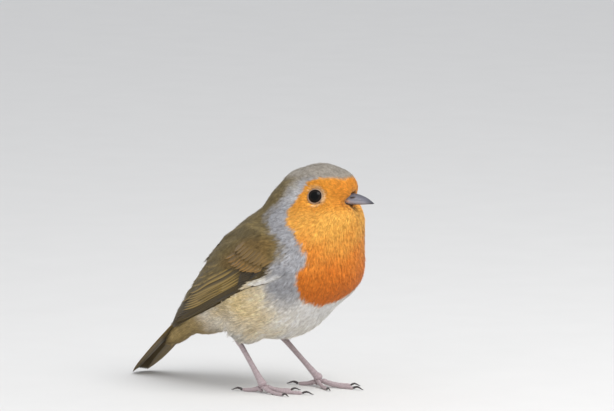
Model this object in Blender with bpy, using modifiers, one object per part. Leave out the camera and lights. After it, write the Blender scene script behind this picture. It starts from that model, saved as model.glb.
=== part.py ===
"""A European robin standing at rest, as a still, life-size museum model.

The bird heads along +X with its left side at +Y, and its feet and tail tip rest on the floor at Z = 0.
The solids give the outline of the plumage, out to the tips of its feathers. Every named part is one
closed solid with a thin gap to its neighbours. Sizes are in millimetres and angles in degrees.
"""

import math

import bmesh
import bpy
from mathutils import Matrix, Vector

MM = 0.001
GAP = 0.35  # clearance between neighbouring parts
MERGE = 0.00001  # weld distance, in metres
SHARP = math.radians(40)  # edges sharper than this are not shaded smooth

# Trunk: rounded masses that are fused and smoothed. Each has a centre, radii and a pitch, head up.
TRUNK_MASSES = {
    "throat": ((16.5, 2.0, 68.0), (17.0, 16.5, 14.0), 0),
    "upper_breast": ((11.5, 0.8, 59.5), (21.0, 21.8, 17.0), 0),
    "breast": ((7.4, 0, 50.5), (25.4, 24.8, 18.5), 0),
    "breast_foot": ((2.0, 0, 44.0), (23.0, 24.0, 16.5), 0),
    "belly": ((-4.8, 0, 41.0), (24.5, 23.4, 21.3), 6),
    "nape": ((5.0, 1.0, 72.0), (17.0, 13.0, 12.8), 42),
    "mantle": ((-13.0, 0, 48.0), (34.0, 20.5, 18.0), 46),
    "rump": ((-31.0, 0, 36.5), (24.0, 14.0, 12.0), 43),
    "tail_coverts": ((-46.0, 0, 29.0), (15.0, 8.5, 6.5), 43),
    "vent": ((-32.0, 0, 32.5), (19.0, 12.5, 9.0), 22),
    "under_tail": ((-50.0, 0, 23.0), (17.5, 6.5, 4.5), 40),
}

# Head: masses in the head's own frame, +X along the bill and the origin midway between the temples.
HEAD_CENTRE = (16.0, 1.5, 78.6)
HEAD_YAW = 12.0
HEAD_MASSES = {
    "cranium": ((0.5, 0, 1.8), (13.5, 10.0, 10.9), 0),
    "forehead": ((6.9, 0, 2.2), (9.0, 7.4, 9.0), 0),
    "hind_crown": ((-7.5, 0, 0.5), (10.5, 10.0, 9.8), 35),
    "cheeks": ((-3.8, 0, -5.2), (12.3, 11.8, 9.4), 0),
    "chin": ((5.4, 0, -6.5), (8.8, 7.2, 6.6), 0),
}

# How each mass is fused: voxel size, rounds of smoothing, and the share of faces kept.
TRUNK_FUSING = (1.3, 26, 1.0)
HEAD_FUSING = (0.9, 8, 1.0)
BODY_FUSING = (1.0, 12, 0.052)

# The body's parts from head to tail: finish, and the plane behind the part as a point on it and a
# normal towards the head. The last part takes what is left.
BODY_PARTS = {
    "head": ("orange_face", (11.0, 0, 69.5), (0.64, 0, 0.77)),
    "neck": ("grey_brown", (8.0, 0, 60.5), (0.50, 0, 0.87)),
    "breast": ("orange_breast", (2.0, 0, 50.0), (0.95, 0, 0.31)),
    "trunk": ("olive_back", (-26.0, 0, 34.0), (0.80, 0, 0.60)),
    "rump": ("pale_belly", None, None),
}

EYE_RADIUS = 3.6
EYE_CENTRE = (1.6, 7.4, 0.15)  # of the left eye, in the head's frame

BILL_BASE = (13.0, 0, -1.5)  # on the cutting edge, in the head's frame
BILL_PITCH = -3.2
BILL_LENGTH = 10.4
BILL_ROOT = 2.6  # how far the bill reaches back under the feathers
# Along the bill from the base to the tip: share of its length, half width, and height from the
# cutting edge to the culmen above or the keel below. The first section is the root.
UPPER_BILL = (
    (-1.0, 2.35, 2.75), (0.0, 2.15, 2.8), (0.2, 1.85, 2.75), (0.38, 1.5, 2.55),
    (0.62, 1.0, 1.9), (0.8, 0.6, 1.1), (0.9, 0.35, 0.62), (1.0, 0.12, 0.16),
)
LOWER_BILL = (
    (-1.0, 2.2, 1.3), (0.0, 2.0, 1.3), (0.2, 1.7, 1.25), (0.38, 1.35, 1.1),
    (0.62, 0.85, 0.8), (0.8, 0.48, 0.5), (0.93, 0.2, 0.25),
)
BILL_DROOP = 0.2  # how far the cutting edge falls by the tip
BILL_SOCKET = 6  # how many of those sections the head is hollowed for

# Folded wing, left side, as ribs from the bend to the wing tip. Each has its lower edge, the outermost
# point between, its upper edge, and how deep it reaches before it is cut to lie on the body.
WING_RIBS = (
    ((17.8, 21.6, 50.2), (18.2, 22.0, 52.5), (17.0, 21.4, 54.8), 1.6),
    ((13.0, 24.2, 47.4), (14.2, 25.2, 53.0), (12.0, 22.4, 60.5), 4.0),
    ((7.5, 25.4, 45.2), (8.6, 26.4, 54.0), (4.5, 21.0, 65.5), 6.0),
    ((-2.3, 24.9, 42.6), (-3.0, 25.4, 53.0), (-8.5, 15.5, 67.0), 7.0),
    ((-12.3, 22.8, 38.0), (-15.0, 22.4, 47.5), (-22.3, 11.5, 60.8), 7.0),
    ((-23.9, 18.0, 33.2), (-26.5, 18.2, 42.2), (-33.2, 8.4, 52.4), 7.0),
    ((-33.9, 14.4, 29.4), (-37.2, 13.4, 36.6), (-42.7, 5.4, 44.0), 6.0),
    ((-42.6, 11.7, 26.0), (-45.2, 10.4, 30.8), (-49.2, 4.8, 35.0), 4.0),
    ((-48.6, 9.9, 23.6), (-50.6, 9.0, 26.4), (-53.0, 5.6, 28.2), 2.4),
    ((-53.4, 9.2, 21.2), (-54.0, 9.0, 22.1), (-54.6, 8.6, 22.8), 1.2),
)
WING_STEPS = 6  # faces across a rib
WING_TUCK = 6.0  # how strongly the inner face turns in towards the body
WING_EDGE = 0.9  # thickness along its edges
WING_PROUD = 1.0  # least height of the wing's face above the body
WING_SPLIT = ((-21.0, 17.0, 40.0), (0.86, -0.05, 0.50))  # between the coverts and the flight feathers

# Tail: closed feathers, from the base under the rump to the square tip on the floor.
TAIL_BASE = (-40.0, 0, 36.4)
TAIL_TIP = (-78.6, 0, 0.95)
TAIL_WIDTHS = (9.0, 10.5, 12.0, 13.2, 13.6, 12.6)
TAIL_THICKNESS = (3.6, 3.0, 2.4, 1.9, 1.5, 1.2)
TAIL_SAG = 0.7  # how far its middle hangs below a straight line
TAIL_SQUARENESS = 3.2

# Legs: each foot's hub, where the tarsus meets the toes, the ankle hidden in the belly feathers, and
# the way the middle toe points.
FEET = {
    "right": {"hub": (-2.2, -13.0, 3.4), "ankle": (-19.0, -11.6, 23.4), "heading": 20.0},
    "left": {"hub": (3.2, 14.8, 3.4), "ankle": (-15.2, 11.4, 21.0), "heading": 6.0},
}
THIGH_CENTRE = (-12.5, 11.0, 26.0)  # of the left thigh
THIGH_RADII = (9.0, 7.4, 7.4)
THIGH_PITCH = -20
TARSUS_RADII = (1.6, 1.1, 0.98, 0.95, 0.98, 1.15, 1.4)
TARSUS_BOW = (0.25, 0, -0.15)  # of its middle
HUB_RADII = (1.8, 1.9, 1.6)
# Each toe: turn from the foot's heading (outwards positive), length, radius, joints, shift to the
# side, drop of its root below the hub, and claw length.
TOES = {
    "middle": (0.0, 14.6, 0.86, 4, 0.0, 0.9, 5.0),
    "inner": (-36.0, 9.8, 0.80, 3, -0.75, 0.9, 4.4),
    "outer": (29.0, 10.8, 0.78, 5, 0.75, 0.9, 4.0),
    "hallux": (188.0, 6.8, 0.86, 2, 0.0, 1.6, 5.4),
}
TOE_START = 1.65  # from the hub's centre
TOE_TAPER = 0.22
PAD_SWELL = 0.09
PAD_LIFT = 0.16  # how far the toe rises between its pads, as a share of its radius
PAD_SINK = 0.16  # how much of each pad the floor flattens
CLAW_KNOTS = 6
CLAW_ARCH = 0.78
CLAW_SHARE = 0.8  # of the toe's end radius
CLAW_TIP_HEIGHT = 0.35
CLAW_TIP_RADIUS = 0.1

# Colours are linear red, green and blue.
FINISHES = {
    "orange_face": ((0.72, 0.24, 0.03), 0.85),
    "grey_brown": ((0.24, 0.21, 0.15), 0.85),
    "orange_breast": ((0.68, 0.20, 0.03), 0.85),
    "olive_back": ((0.17, 0.13, 0.07), 0.85),
    "pale_belly": ((0.62, 0.58, 0.50), 0.9),
    "wing_brown": ((0.15, 0.11, 0.06), 0.75),
    "tail_brown": ((0.13, 0.09, 0.05), 0.75),
    "eye_black": ((0.008, 0.006, 0.006), 0.05),
    "bill_grey": ((0.05, 0.045, 0.05), 0.35),
    "leg_pink": ((0.34, 0.22, 0.20), 0.55),
    "claw_dark": ((0.07, 0.05, 0.045), 0.4),
}

SIDES = {"left": 1, "right": -1}

parts = {}


def mm(point):
    return Vector(point) * MM


def clear_scene():
    for old in list(bpy.data.objects):
        bpy.data.objects.remove(old)


def new_collection(name):
    made = bpy.data.collections.new(name)
    bpy.context.scene.collection.children.link(made)
    return made


def finish_material(name):
    colour, roughness = FINISHES[name]
    made = bpy.data.materials.get(name)
    if made is None:
        made = bpy.data.materials.new(name)
        made.use_nodes = True
        shader = made.node_tree.nodes["Principled BSDF"]
        shader.inputs["Base Color"].default_value = (*colour, 1)
        shader.inputs["Roughness"].default_value = roughness
        shader.inputs["Metallic"].default_value = 0
    return made


def mesh_object(name, fill):
    """A new object whose mesh the function fill writes with bmesh."""
    mesh = bpy.data.meshes.new(name)
    work = bmesh.new()
    fill(work)
    bmesh.ops.recalc_face_normals(work, faces=work.faces)
    work.to_mesh(mesh)
    work.free()
    mesh.shade_smooth()
    mesh.set_sharp_from_angle(angle=SHARP)
    made = bpy.data.objects.new(name, mesh)
    bpy.context.scene.collection.objects.link(made)
    return made


def ellipsoid(name, centre, radii, turn=Matrix.Identity(4), segments=28):
    """A stretched sphere, turned and then moved to its centre."""
    place = Matrix.Translation(mm(centre)) @ turn @ Matrix.Diagonal((*mm(radii), 1))

    def fill(work):
        bmesh.ops.create_uvsphere(
            work, u_segments=segments, v_segments=segments // 2 + 2, radius=1, matrix=place
        )

    return mesh_object(name, fill)


def pitched(degrees):
    """A turn about Y that lifts +X by this angle."""
    return Matrix.Rotation(math.radians(-degrees), 4, "Y")


def head_frame():
    return Matrix.Translation(mm(HEAD_CENTRE)) @ Matrix.Rotation(math.radians(HEAD_YAW), 4, "Z")


def bake_modifiers(thing):
    """Replaces the object's mesh by its evaluated one."""
    graph = bpy.context.evaluated_depsgraph_get()
    graph.update()
    mesh = bpy.data.meshes.new_from_object(thing.evaluated_get(graph))
    thing.modifiers.clear()
    thing.data = mesh
    return thing


def boolean(thing, other, operation="DIFFERENCE"):
    step = thing.modifiers.new(operation.lower(), "BOOLEAN")
    step.operation = operation
    step.object = other
    step.solver = "EXACT"
    return bake_modifiers(thing)


def weld(thing):
    work = bmesh.new()
    work.from_mesh(thing.data)
    bmesh.ops.remove_doubles(work, verts=work.verts, dist=MERGE)
    bmesh.ops.dissolve_degenerate(work, edges=work.edges, dist=MERGE)
    bmesh.ops.triangulate(work, faces=work.faces)
    bmesh.ops.recalc_face_normals(work, faces=work.faces)
    work.to_mesh(thing.data)
    work.free()
    return thing


def inflated(thing, distance):
    """A copy of the object grown by a distance along its normals, for use as a cutter."""
    copy = copy_of(thing)
    grow = copy.modifiers.new("grow", "DISPLACE")
    grow.strength = distance * MM
    grow.mid_level = 0
    return bake_modifiers(copy)


def remove(*things):
    for thing in things:
        bpy.data.objects.remove(thing)


def cut_flat(thing, point, normal):
    """Keeps the side of a plane that its normal points to, and closes the cut."""
    work = bmesh.new()
    work.from_mesh(thing.data)
    bmesh.ops.bisect_plane(
        work, geom=[*work.verts, *work.edges, *work.faces], dist=1e-7, plane_co=point,
        plane_no=normal, clear_inner=True,
    )
    rim = [edge for edge in work.edges if edge.is_boundary]
    if rim:
        bmesh.ops.edgeloop_fill(work, edges=rim)
    bmesh.ops.recalc_face_normals(work, faces=work.faces)
    work.to_mesh(thing.data)
    work.free()
    return thing


def copy_of(thing):
    copy = thing.copy()
    copy.data = thing.data.copy()
    bpy.context.scene.collection.objects.link(copy)
    return copy


def loft(name, rings):
    """A closed solid through rings of points, each as long as the next, with flat ends."""

    def fill(work):
        loops = [[work.verts.new(point) for point in ring] for ring in rings]
        for near, far in zip(loops, loops[1:]):
            for i, corner in enumerate(near):
                after = (i + 1) % len(near)
                work.faces.new((corner, near[after], far[after], far[i]))
        work.faces.new(loops[0][::-1])
        work.faces.new(loops[-1])

    return mesh_object(name, fill)


def rounded_ring(centre, up, side, half_up, half_side, squareness, sides=20):
    """Points round a superellipse in the plane of two unit vectors."""
    power = 2 / squareness
    ring = []
    for i in range(sides):
        turn = 2 * math.pi * i / sides
        rise, reach = math.cos(turn), math.sin(turn)
        rise = math.copysign(abs(rise) ** power, rise)
        reach = math.copysign(abs(reach) ** power, reach)
        ring.append(mm(centre + up * (half_up * rise) + side * (half_side * reach)))
    return ring


def smooth_path(points, steps):
    """Points on a Catmull-Rom curve through the given ones."""
    ends = [points[0] * 2 - points[1], *points, points[-1] * 2 - points[-2]]
    path = []
    for before, start, end, after in zip(ends, ends[1:], ends[2:], ends[3:]):
        for i in range(steps):
            t = i / steps
            path.append(
                0.5 * (2 * start + (end - before) * t + (2 * before - 5 * start + 4 * end - after) * t**2
                       + (3 * start - before - 3 * end + after) * t**3)
            )
    return [*path, points[-1]]


def tube(name, points, radii, roundness=1):
    """A round bar along points, with its radius at each, as a closed mesh."""
    curve = bpy.data.curves.new(name, "CURVE")
    curve.dimensions = "3D"
    curve.bevel_depth = MM
    curve.bevel_resolution = roundness
    curve.use_fill_caps = True
    spline = curve.splines.new("POLY")
    spline.points.add(len(points) - 1)
    for knot, point, radius in zip(spline.points, points, radii):
        knot.co = (*point, 1)
        knot.radius = radius
    bar = bpy.data.objects.new(name, curve)
    bpy.context.scene.collection.objects.link(bar)
    graph = bpy.context.evaluated_depsgraph_get()
    graph.update()
    mesh = bpy.data.meshes.new_from_object(bar.evaluated_get(graph))
    made = bpy.data.objects.new(name, mesh)
    made.matrix_world = bar.matrix_world
    bpy.context.scene.collection.objects.link(made)
    remove(bar)
    weld(made)
    mesh.shade_smooth()
    return made


def keep(thing, name, finish):
    """Names a finished part, gives it its material and moves its origin to its middle."""
    weld(thing)
    thing.name = name
    thing.data.name = name
    thing.data.materials.clear()
    thing.data.materials.append(finish_material(finish))
    thing.data.shade_smooth()
    thing.data.set_sharp_from_angle(angle=SHARP)
    corners = [Vector(corner) for corner in thing.bound_box]
    middle = sum(corners, Vector()) / 8
    thing.data.transform(Matrix.Translation(-middle))
    thing.location = middle
    parts[name] = thing
    return thing


def blended(mass, voxel, rounds, share):
    """The mass as one smooth closed surface."""
    blend = mass.modifiers.new("blend", "REMESH")
    blend.mode = "VOXEL"
    blend.voxel_size = voxel * MM
    soften = mass.modifiers.new("soften", "SMOOTH")
    soften.factor = 0.5
    soften.iterations = rounds
    thin = mass.modifiers.new("thin", "DECIMATE")
    thin.ratio = share
    return bake_modifiers(mass)


def fused(masses, frame, fusing):
    """One smooth mass out of overlapping ellipsoids."""
    blobs = [
        ellipsoid(label, (0, 0, 0), radii, frame @ Matrix.Translation(mm(centre)) @ pitched(pitch))
        for label, (centre, radii, pitch) in masses.items()
    ]
    mass = blobs[0]
    with bpy.context.temp_override(active_object=mass, object=mass, selected_editable_objects=blobs):
        bpy.ops.object.join()
    return blended(mass, *fusing)


def make_body():
    """The whole feathered body, head to vent, before it is parted."""
    trunk = fused(TRUNK_MASSES, Matrix.Identity(4), TRUNK_FUSING)
    head = fused(HEAD_MASSES, head_frame(), HEAD_FUSING)
    boolean(trunk, head, "UNION")
    remove(head)
    return weld(blended(trunk, *BODY_FUSING))


def part_body(rest):
    """Parts the body with thin plane cuts, from the head back to the tail."""
    for name, (finish, point, normal) in BODY_PARTS.items():
        piece = copy_of(rest)
        if point is not None:
            part_between(piece, rest, Vector(point), Vector(normal))
        keep(piece, name, finish)


def part_between(ahead, behind, point, normal):
    """Cuts two copies of one thing along a plane, with the gap between them."""
    toward = normal.normalized()
    half = toward * GAP / 2
    cut_flat(ahead, mm(point + half), toward)
    cut_flat(behind, mm(point - half), -toward)


def make_eyes():
    """Each eyeball sits in a socket that opens through the feathers as a round orbit."""
    head = parts["head"]
    for side, sign in SIDES.items():
        centre = Vector((EYE_CENTRE[0], EYE_CENTRE[1] * sign, EYE_CENTRE[2]))
        outward = Matrix.Rotation(math.radians(-90 * sign), 4, "X")
        place = head_frame() @ Matrix.Translation(mm(centre)) @ outward
        eye = ellipsoid("eye", (0, 0, 0), (EYE_RADIUS,) * 3, place, 14)
        socket = ellipsoid("socket", (0, 0, 0), (EYE_RADIUS + GAP,) * 3, place, 14)
        boolean(head, socket)
        remove(socket)
        largest_piece(head)
        keep(eye, f"eye_{side}", "eye_black")


def bill_rings(sections, is_upper, grow=0.0):
    """Rings of one half of the bill in its own frame, rounded outside and flat at the cutting edge."""
    way = 1 if is_upper else -1
    rings = []
    for share, half_width, height in sections:
        x = BILL_LENGTH * share if share >= 0 else -BILL_ROOT
        edge = -BILL_DROOP * max(share, 0) ** 2 + way * (GAP / 2 - grow)
        ring = []
        for i in range(12):
            turn = math.pi * i / 11
            across = (half_width + grow) * math.cos(turn)
            rise = way * (height + 2 * grow) * abs(math.sin(turn)) ** 0.9
            ring.append(mm((x, across, edge + rise)))
        rings.append(ring)
    return rings


def make_bill():
    frame = head_frame() @ Matrix.Translation(mm(BILL_BASE)) @ pitched(BILL_PITCH)
    halves = []
    for name, sections, is_upper in (
        ("bill_upper", UPPER_BILL, True),
        ("bill_lower", LOWER_BILL, False),
    ):
        half = loft(name, bill_rings(sections, is_upper))
        half.data.transform(frame)
        # The sockets of the two halves reach across the seam, so no sliver of head stays there.
        socket = loft("socket", bill_rings(sections[:BILL_SOCKET], is_upper, GAP))
        socket.data.transform(frame @ Matrix.Translation((-GAP * MM, 0, 0)))
        boolean(parts["head"], socket)
        remove(socket)
        halves.append(half)
    largest_piece(parts["head"])
    for half in halves:
        keep(half, half.name, "bill_grey")


def bezier(start, middle, end, share):
    """A point on the parabola through three points."""
    pull = middle * 2 - (start + end) * 0.5
    return start * (1 - share) ** 2 + pull * 2 * share * (1 - share) + end * share**2


def wing_rings(sign, hull):
    """Rings round the wing: an outer face that stays proud of the body, and an inner one inside it."""
    mirror = Vector((1, sign, 1))
    rings = []
    for low, mid, high, depth in WING_RIBS:
        low, mid, high = Vector(low), Vector(mid), Vector(high)
        inward = (low + high) * 0.5 - mid + Vector((0, -WING_TUCK, 0))
        inward = inward.normalized() * mirror
        outer, inner = [], []
        for i in range(WING_STEPS + 1):
            share = i / WING_STEPS
            face = mm(bezier(low, mid, high, share) * mirror)
            thickness = WING_EDGE + (depth - WING_EDGE) * math.sin(math.pi * share) ** 0.6
            _, near, normal, _ = hull.closest_point_on_mesh(face)
            if (face - near).dot(normal) < WING_PROUD * MM:
                face = near + normal * WING_PROUD * MM
            outer.append(face)
            inner.append(face + inward * thickness * MM)
        rings.append(outer + inner[::-1])
    return rings


def make_wings(hull):
    """Each folded wing lies on the body, and is parted into its coverts and its flight feathers."""
    for side, sign in SIDES.items():
        mirror = Vector((1, sign, 1))
        coverts = loft("wing", wing_rings(sign, hull))
        boolean(coverts, hull)
        largest_piece(coverts)
        flight = copy_of(coverts)
        point, normal = WING_SPLIT
        part_between(coverts, flight, Vector(point) * mirror, Vector(normal) * mirror)
        keep(coverts, f"wing_{side}", "wing_brown")
        keep(flight, f"flight_feathers_{side}", "wing_brown")


def largest_piece(thing):
    """Drops loose scraps that a cut leaves."""
    work = bmesh.new()
    work.from_mesh(thing.data)
    left = set(work.faces)
    groups = []
    while left:
        group = set()
        queue = [left.pop()]
        while queue:
            face = queue.pop()
            group.add(face)
            for edge in face.edges:
                for other in edge.link_faces:
                    if other in left:
                        left.remove(other)
                        queue.append(other)
        groups.append(group)
    groups.sort(key=lambda group: sum(face.calc_area() for face in group))
    scraps = [face for group in groups[:-1] for face in group]
    if scraps:
        bmesh.ops.delete(work, geom=scraps, context="FACES")
    work.to_mesh(thing.data)
    work.free()
    return thing


def make_tail(hull):
    base, tip = Vector(TAIL_BASE), Vector(TAIL_TIP)
    along = (tip - base).normalized()
    side = Vector((0, 1, 0))
    up = along.cross(side).normalized()
    rings = []
    last = len(TAIL_WIDTHS) - 1
    for i, (width, thickness) in enumerate(zip(TAIL_WIDTHS, TAIL_THICKNESS)):
        share = i / last
        centre = base.lerp(tip, share) - up * TAIL_SAG * math.sin(math.pi * share)
        rings.append(rounded_ring(centre, up, side, thickness / 2, width / 2, TAIL_SQUARENESS))
    tail = loft("tail", rings)
    boolean(tail, hull)
    largest_piece(tail)
    cut_flat(tail, Vector((0, 0, 0)), Vector((0, 0, 1)))
    keep(tail, "tail", "tail_brown")


def make_thighs(hull):
    for side, sign in SIDES.items():
        centre = Vector(THIGH_CENTRE) * Vector((1, sign, 1))
        thigh = ellipsoid("thigh", centre, THIGH_RADII, pitched(THIGH_PITCH), 16)
        boolean(thigh, hull)
        largest_piece(thigh)
        keep(thigh, f"thigh_{side}", "pale_belly")


def toe_path(start, direction, length, radius, joints):
    """Centre line and radii of a toe that comes off the hub and lies on its pads."""
    last = joints * 2 + 2
    points = []
    radii = []
    for i in range(last + 1):
        share = i / last
        pad = math.cos(2 * math.pi * share * joints)
        thick = radius * (1 - TOE_TAPER * share) * (1 + PAD_SWELL * pad)
        low = thick - PAD_SINK + PAD_LIFT * (1 - pad) * radius
        point = start + direction * length * share
        point.z = low + (start.z - low) * (1 - share) ** 3
        points.append(point)
        radii.append(thick)
    return points, radii


def claw_path(start, direction, length, radius):
    """A claw that arches off the toe's end and curves down to the floor."""
    points = []
    radii = []
    for i in range(CLAW_KNOTS):
        share = i / (CLAW_KNOTS - 1)
        arch = CLAW_ARCH * math.sin(math.pi * min(share * 1.25, 1))
        point = start + direction * length * share
        point.z = start.z + arch - (start.z - CLAW_TIP_HEIGHT) * share**2.2
        points.append(point)
        radii.append(radius * (1 - share) ** 0.75 + CLAW_TIP_RADIUS)
    return points, radii


def make_tarsus(side, foot, hull):
    """The bare shank with the knuckle that its toes grow from."""
    hub = Vector(foot["hub"])
    ankle = Vector(foot["ankle"])
    knots = [ankle, ankle.lerp(hub, 0.5) + Vector(TARSUS_BOW), hub]
    path = smooth_path([mm(knot) for knot in knots], len(TARSUS_RADII) // 2)
    tarsus = tube("tarsus", path, TARSUS_RADII, 2)
    turn = Matrix.Rotation(math.radians(foot["heading"]), 4, "Z")
    knuckle = ellipsoid("knuckle", hub, HUB_RADII, turn, 12)
    boolean(tarsus, knuckle, "UNION")
    boolean(tarsus, hull)
    thigh = inflated(parts[f"thigh_{side}"], GAP)
    boolean(tarsus, thigh)
    remove(knuckle, thigh)
    largest_piece(tarsus)
    return keep(tarsus, f"tarsus_{side}", "leg_pink")


def make_foot(side, foot):
    """Three toes ahead and the hallux behind, each clear of the tarsus and of the toes made before it."""
    outward = SIDES[side]
    hub = Vector(foot["hub"])
    neighbours = [inflated(parts[f"tarsus_{side}"], GAP)]
    for label, (turn, length, radius, joints, shift, drop, claw) in TOES.items():
        angle = math.radians(foot["heading"] + turn * outward)
        direction = Vector((math.cos(angle), math.sin(angle), 0))
        across = Vector((-direction.y, direction.x, 0)) * outward
        start = hub + direction * TOE_START + across * shift - Vector((0, 0, drop))
        points, radii = toe_path(start, direction, length, radius, joints)
        toe = tube("toe", [mm(point) for point in points], radii)
        for neighbour in neighbours:
            boolean(toe, neighbour)
        largest_piece(toe)
        cut_flat(toe, Vector((0, 0, 0)), Vector((0, 0, 1)))
        keep(toe, f"toe_{label}_{side}", "leg_pink")
        neighbours.append(inflated(toe, GAP))
        tip = points[-1] + direction * GAP
        points, radii = claw_path(tip, direction, claw, radii[-1] * CLAW_SHARE)
        nail = tube("claw", [mm(point) for point in points], radii)
        keep(nail, f"claw_{label}_{side}", "claw_dark")
    remove(*neighbours)


def stand_on_origin(collection):
    """Hangs every part on one empty, placed so that the origin is under the middle of the bird."""
    robin = bpy.data.objects.new("robin", None)
    collection.objects.link(robin)
    low = Vector((1e9,) * 3)
    high = Vector((-1e9,) * 3)
    for part in parts.values():
        for corner in part.data.vertices:
            place = corner.co + part.location
            low = Vector(map(min, low, place))
            high = Vector(map(max, high, place))
        for owner in list(part.users_collection):
            owner.objects.unlink(part)
        collection.objects.link(part)
        part.parent = robin
    robin.location = (-(low.x + high.x) / 2, -(low.y + high.y) / 2, -low.z)


def main():
    clear_scene()
    collection = new_collection("robin")
    body = make_body()
    hull = inflated(body, GAP)
    part_body(body)
    remove(body)
    make_eyes()
    make_bill()
    make_wings(hull)
    make_tail(hull)
    make_thighs(hull)
    for side, foot in FEET.items():
        make_tarsus(side, foot, hull)
        make_foot(side, foot)
    remove(hull)
    stand_on_origin(collection)


main()
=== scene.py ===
"""A European robin, life size and still: its skin, coat, flight feathers, bill, eyes, legs and claws.

The bird heads along +X with its left side at +Y and stands on the floor at Z = 0. Places on the body are
in millimetres from the bird's own origin, which is on the floor near its feet; places on the head are in
millimetres from the middle of the line between its eyes, with +X along the head.
"""

import functools
import math

import bmesh
import bpy
import numpy as np
from bpy.props import FloatProperty, FloatVectorProperty, IntProperty, PointerProperty
from mathutils import Matrix, Vector
from mathutils.bvhtree import BVHTree


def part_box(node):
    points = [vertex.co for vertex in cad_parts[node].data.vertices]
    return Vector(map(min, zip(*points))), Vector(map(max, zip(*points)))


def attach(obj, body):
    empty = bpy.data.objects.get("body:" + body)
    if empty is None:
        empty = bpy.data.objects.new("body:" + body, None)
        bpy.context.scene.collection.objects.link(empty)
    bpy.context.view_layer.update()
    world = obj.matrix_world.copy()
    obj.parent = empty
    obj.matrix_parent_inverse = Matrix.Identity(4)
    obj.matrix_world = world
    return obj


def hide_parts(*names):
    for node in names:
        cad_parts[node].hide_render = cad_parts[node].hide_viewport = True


bl_info = {
    "name": "Standing robin",
    "version": (1, 0, 0),
    "blender": (4, 5, 0),
    "location": "View3D > Sidebar > Robin",
    "description": "Builds the skin, plumage and bare parts of a standing robin over its solid frame",
    "category": "Object",
}

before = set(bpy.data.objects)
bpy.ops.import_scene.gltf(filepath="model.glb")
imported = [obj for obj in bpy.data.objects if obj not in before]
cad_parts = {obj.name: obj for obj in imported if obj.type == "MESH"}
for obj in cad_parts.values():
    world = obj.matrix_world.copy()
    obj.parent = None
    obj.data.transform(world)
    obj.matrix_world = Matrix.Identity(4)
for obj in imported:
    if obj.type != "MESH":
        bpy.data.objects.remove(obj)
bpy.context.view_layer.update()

MM = 0.001
SIDES = {"left": 1, "right": -1}

# Where the head is, from the eyeballs of the frame.
EYES = {side: sum(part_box(f"eye_{side}"), Vector()) / 2 for side in SIDES}
EYE_LINE = (EYES["left"] + EYES["right"]) / 2
HEAD_TURN = math.atan2(EYES["right"].x - EYES["left"].x, EYES["left"].y - EYES["right"].y)
EYE_LINE_PLACE = Vector((17.57, 1.83, 78.75))  # the same point from the bird's own origin
ORIGIN = EYE_LINE / MM - EYE_LINE_PLACE
EYEBALL = (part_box("eye_left")[1].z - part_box("eye_left")[0].z) / 2 / MM

FLESH = ("head", "neck", "breast", "trunk", "rump", "thigh_left", "thigh_right")


# Sizes and colours that a user would change

def usual(name, description):
    """A share of the usual amount."""
    return FloatProperty(name=name, description=description, subtype="FACTOR", min=0, max=2, default=1)


class CoatSettings(bpy.types.PropertyGroup):
    seed: IntProperty(name="Seed", description="Start of the coat's random draws", min=0, default=7)
    density: usual("Density", "Feathers laid, as a share of a full coat")
    length: usual("Length", "Feather length, as a share of the usual")
    ruffle: usual("Ruffle", "How unevenly the feathers lie, as a share of the usual")
    depth: usual("Depth", "Coat depth, as a share of the usual")


def colour(name, description, value):
    """A colour property, in linear red, green and blue."""
    return FloatVectorProperty(
        name=name, description=description, subtype="COLOR", size=3, min=0, max=1, default=value
    )


class PlumageColours(bpy.types.PropertyGroup):
    throat: colour("Throat", "Bright orange of the throat", (0.88, 0.45, 0.08))
    breast: colour("Breast", "Rust orange of the breast", (0.78, 0.25, 0.025))
    bib_foot: colour("Bib foot", "Deep orange at the foot of the bib", (0.66, 0.155, 0.012))
    face: colour("Face", "Orange of forehead, lores and cheeks", (0.80, 0.33, 0.035))
    eye_ring: colour("Eye ring", "Buff feathers round the eye", (0.86, 0.58, 0.32))
    band: colour("Band", "Blue-grey band beside the orange", (0.41, 0.41, 0.43))
    crown: colour("Crown", "Grey-brown crown", (0.37, 0.335, 0.285))
    back: colour("Back", "Olive-brown back", (0.20, 0.148, 0.058))
    belly: colour("Belly", "Off-white belly", (0.93, 0.91, 0.87))
    flank: colour("Flank", "Buff flanks", (0.83, 0.64, 0.31))
    vent: colour("Vent", "Ochre vent and under-tail", (0.40, 0.28, 0.095))
    # The thigh's white is darkened here as painted shade.
    thigh: colour("Thigh", "Dull white thigh feathers", (0.44, 0.43, 0.40))
    down: colour("Down", "Dark roots of the feathers", (0.10, 0.095, 0.09))


class WingColours(bpy.types.PropertyGroup):
    coverts: colour("Coverts", "Brown wing coverts", (0.205, 0.124, 0.036))
    rust: colour("Rust", "Rusty tips of the greater coverts", (0.32, 0.165, 0.034))
    quill: colour("Quill", "Brown of the inner flight feathers", (0.088, 0.056, 0.010))
    edge: colour("Edge", "Pale edges of the flight feathers", (0.30, 0.195, 0.045))
    alula: colour("Alula", "Dark bastard wing and wing tip", (0.055, 0.037, 0.014))
    tail: colour("Tail", "Brown tail feathers", (0.22, 0.15, 0.053))


class BarePartColours(bpy.types.PropertyGroup):
    bill: colour("Bill", "Dark horn", (0.14, 0.14, 0.17))
    # Pale cutting edges, partly painted highlight; also the colour of the painted highlight along the bill's
    # side.
    bill_edge_and_highlight: colour("Bill edge", "Pale cutting edges", (0.42, 0.41, 0.46))
    gape: colour("Gape", "Pinkish corner of the mouth", (0.62, 0.36, 0.22))
    iris: colour("Iris", "Dark brown iris", (0.012, 0.007, 0.005))
    lid: colour("Lid", "Bare rim of the eyelids", (0.60, 0.42, 0.28))
    leg: colour("Leg", "Pinkish grey-brown scales", (0.47, 0.39, 0.40))
    leg_groove: colour("Groove", "Skin between the scales", (0.26, 0.19, 0.20))
    claw: colour("Claw", "Dark brown claws", (0.055, 0.042, 0.040))


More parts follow.
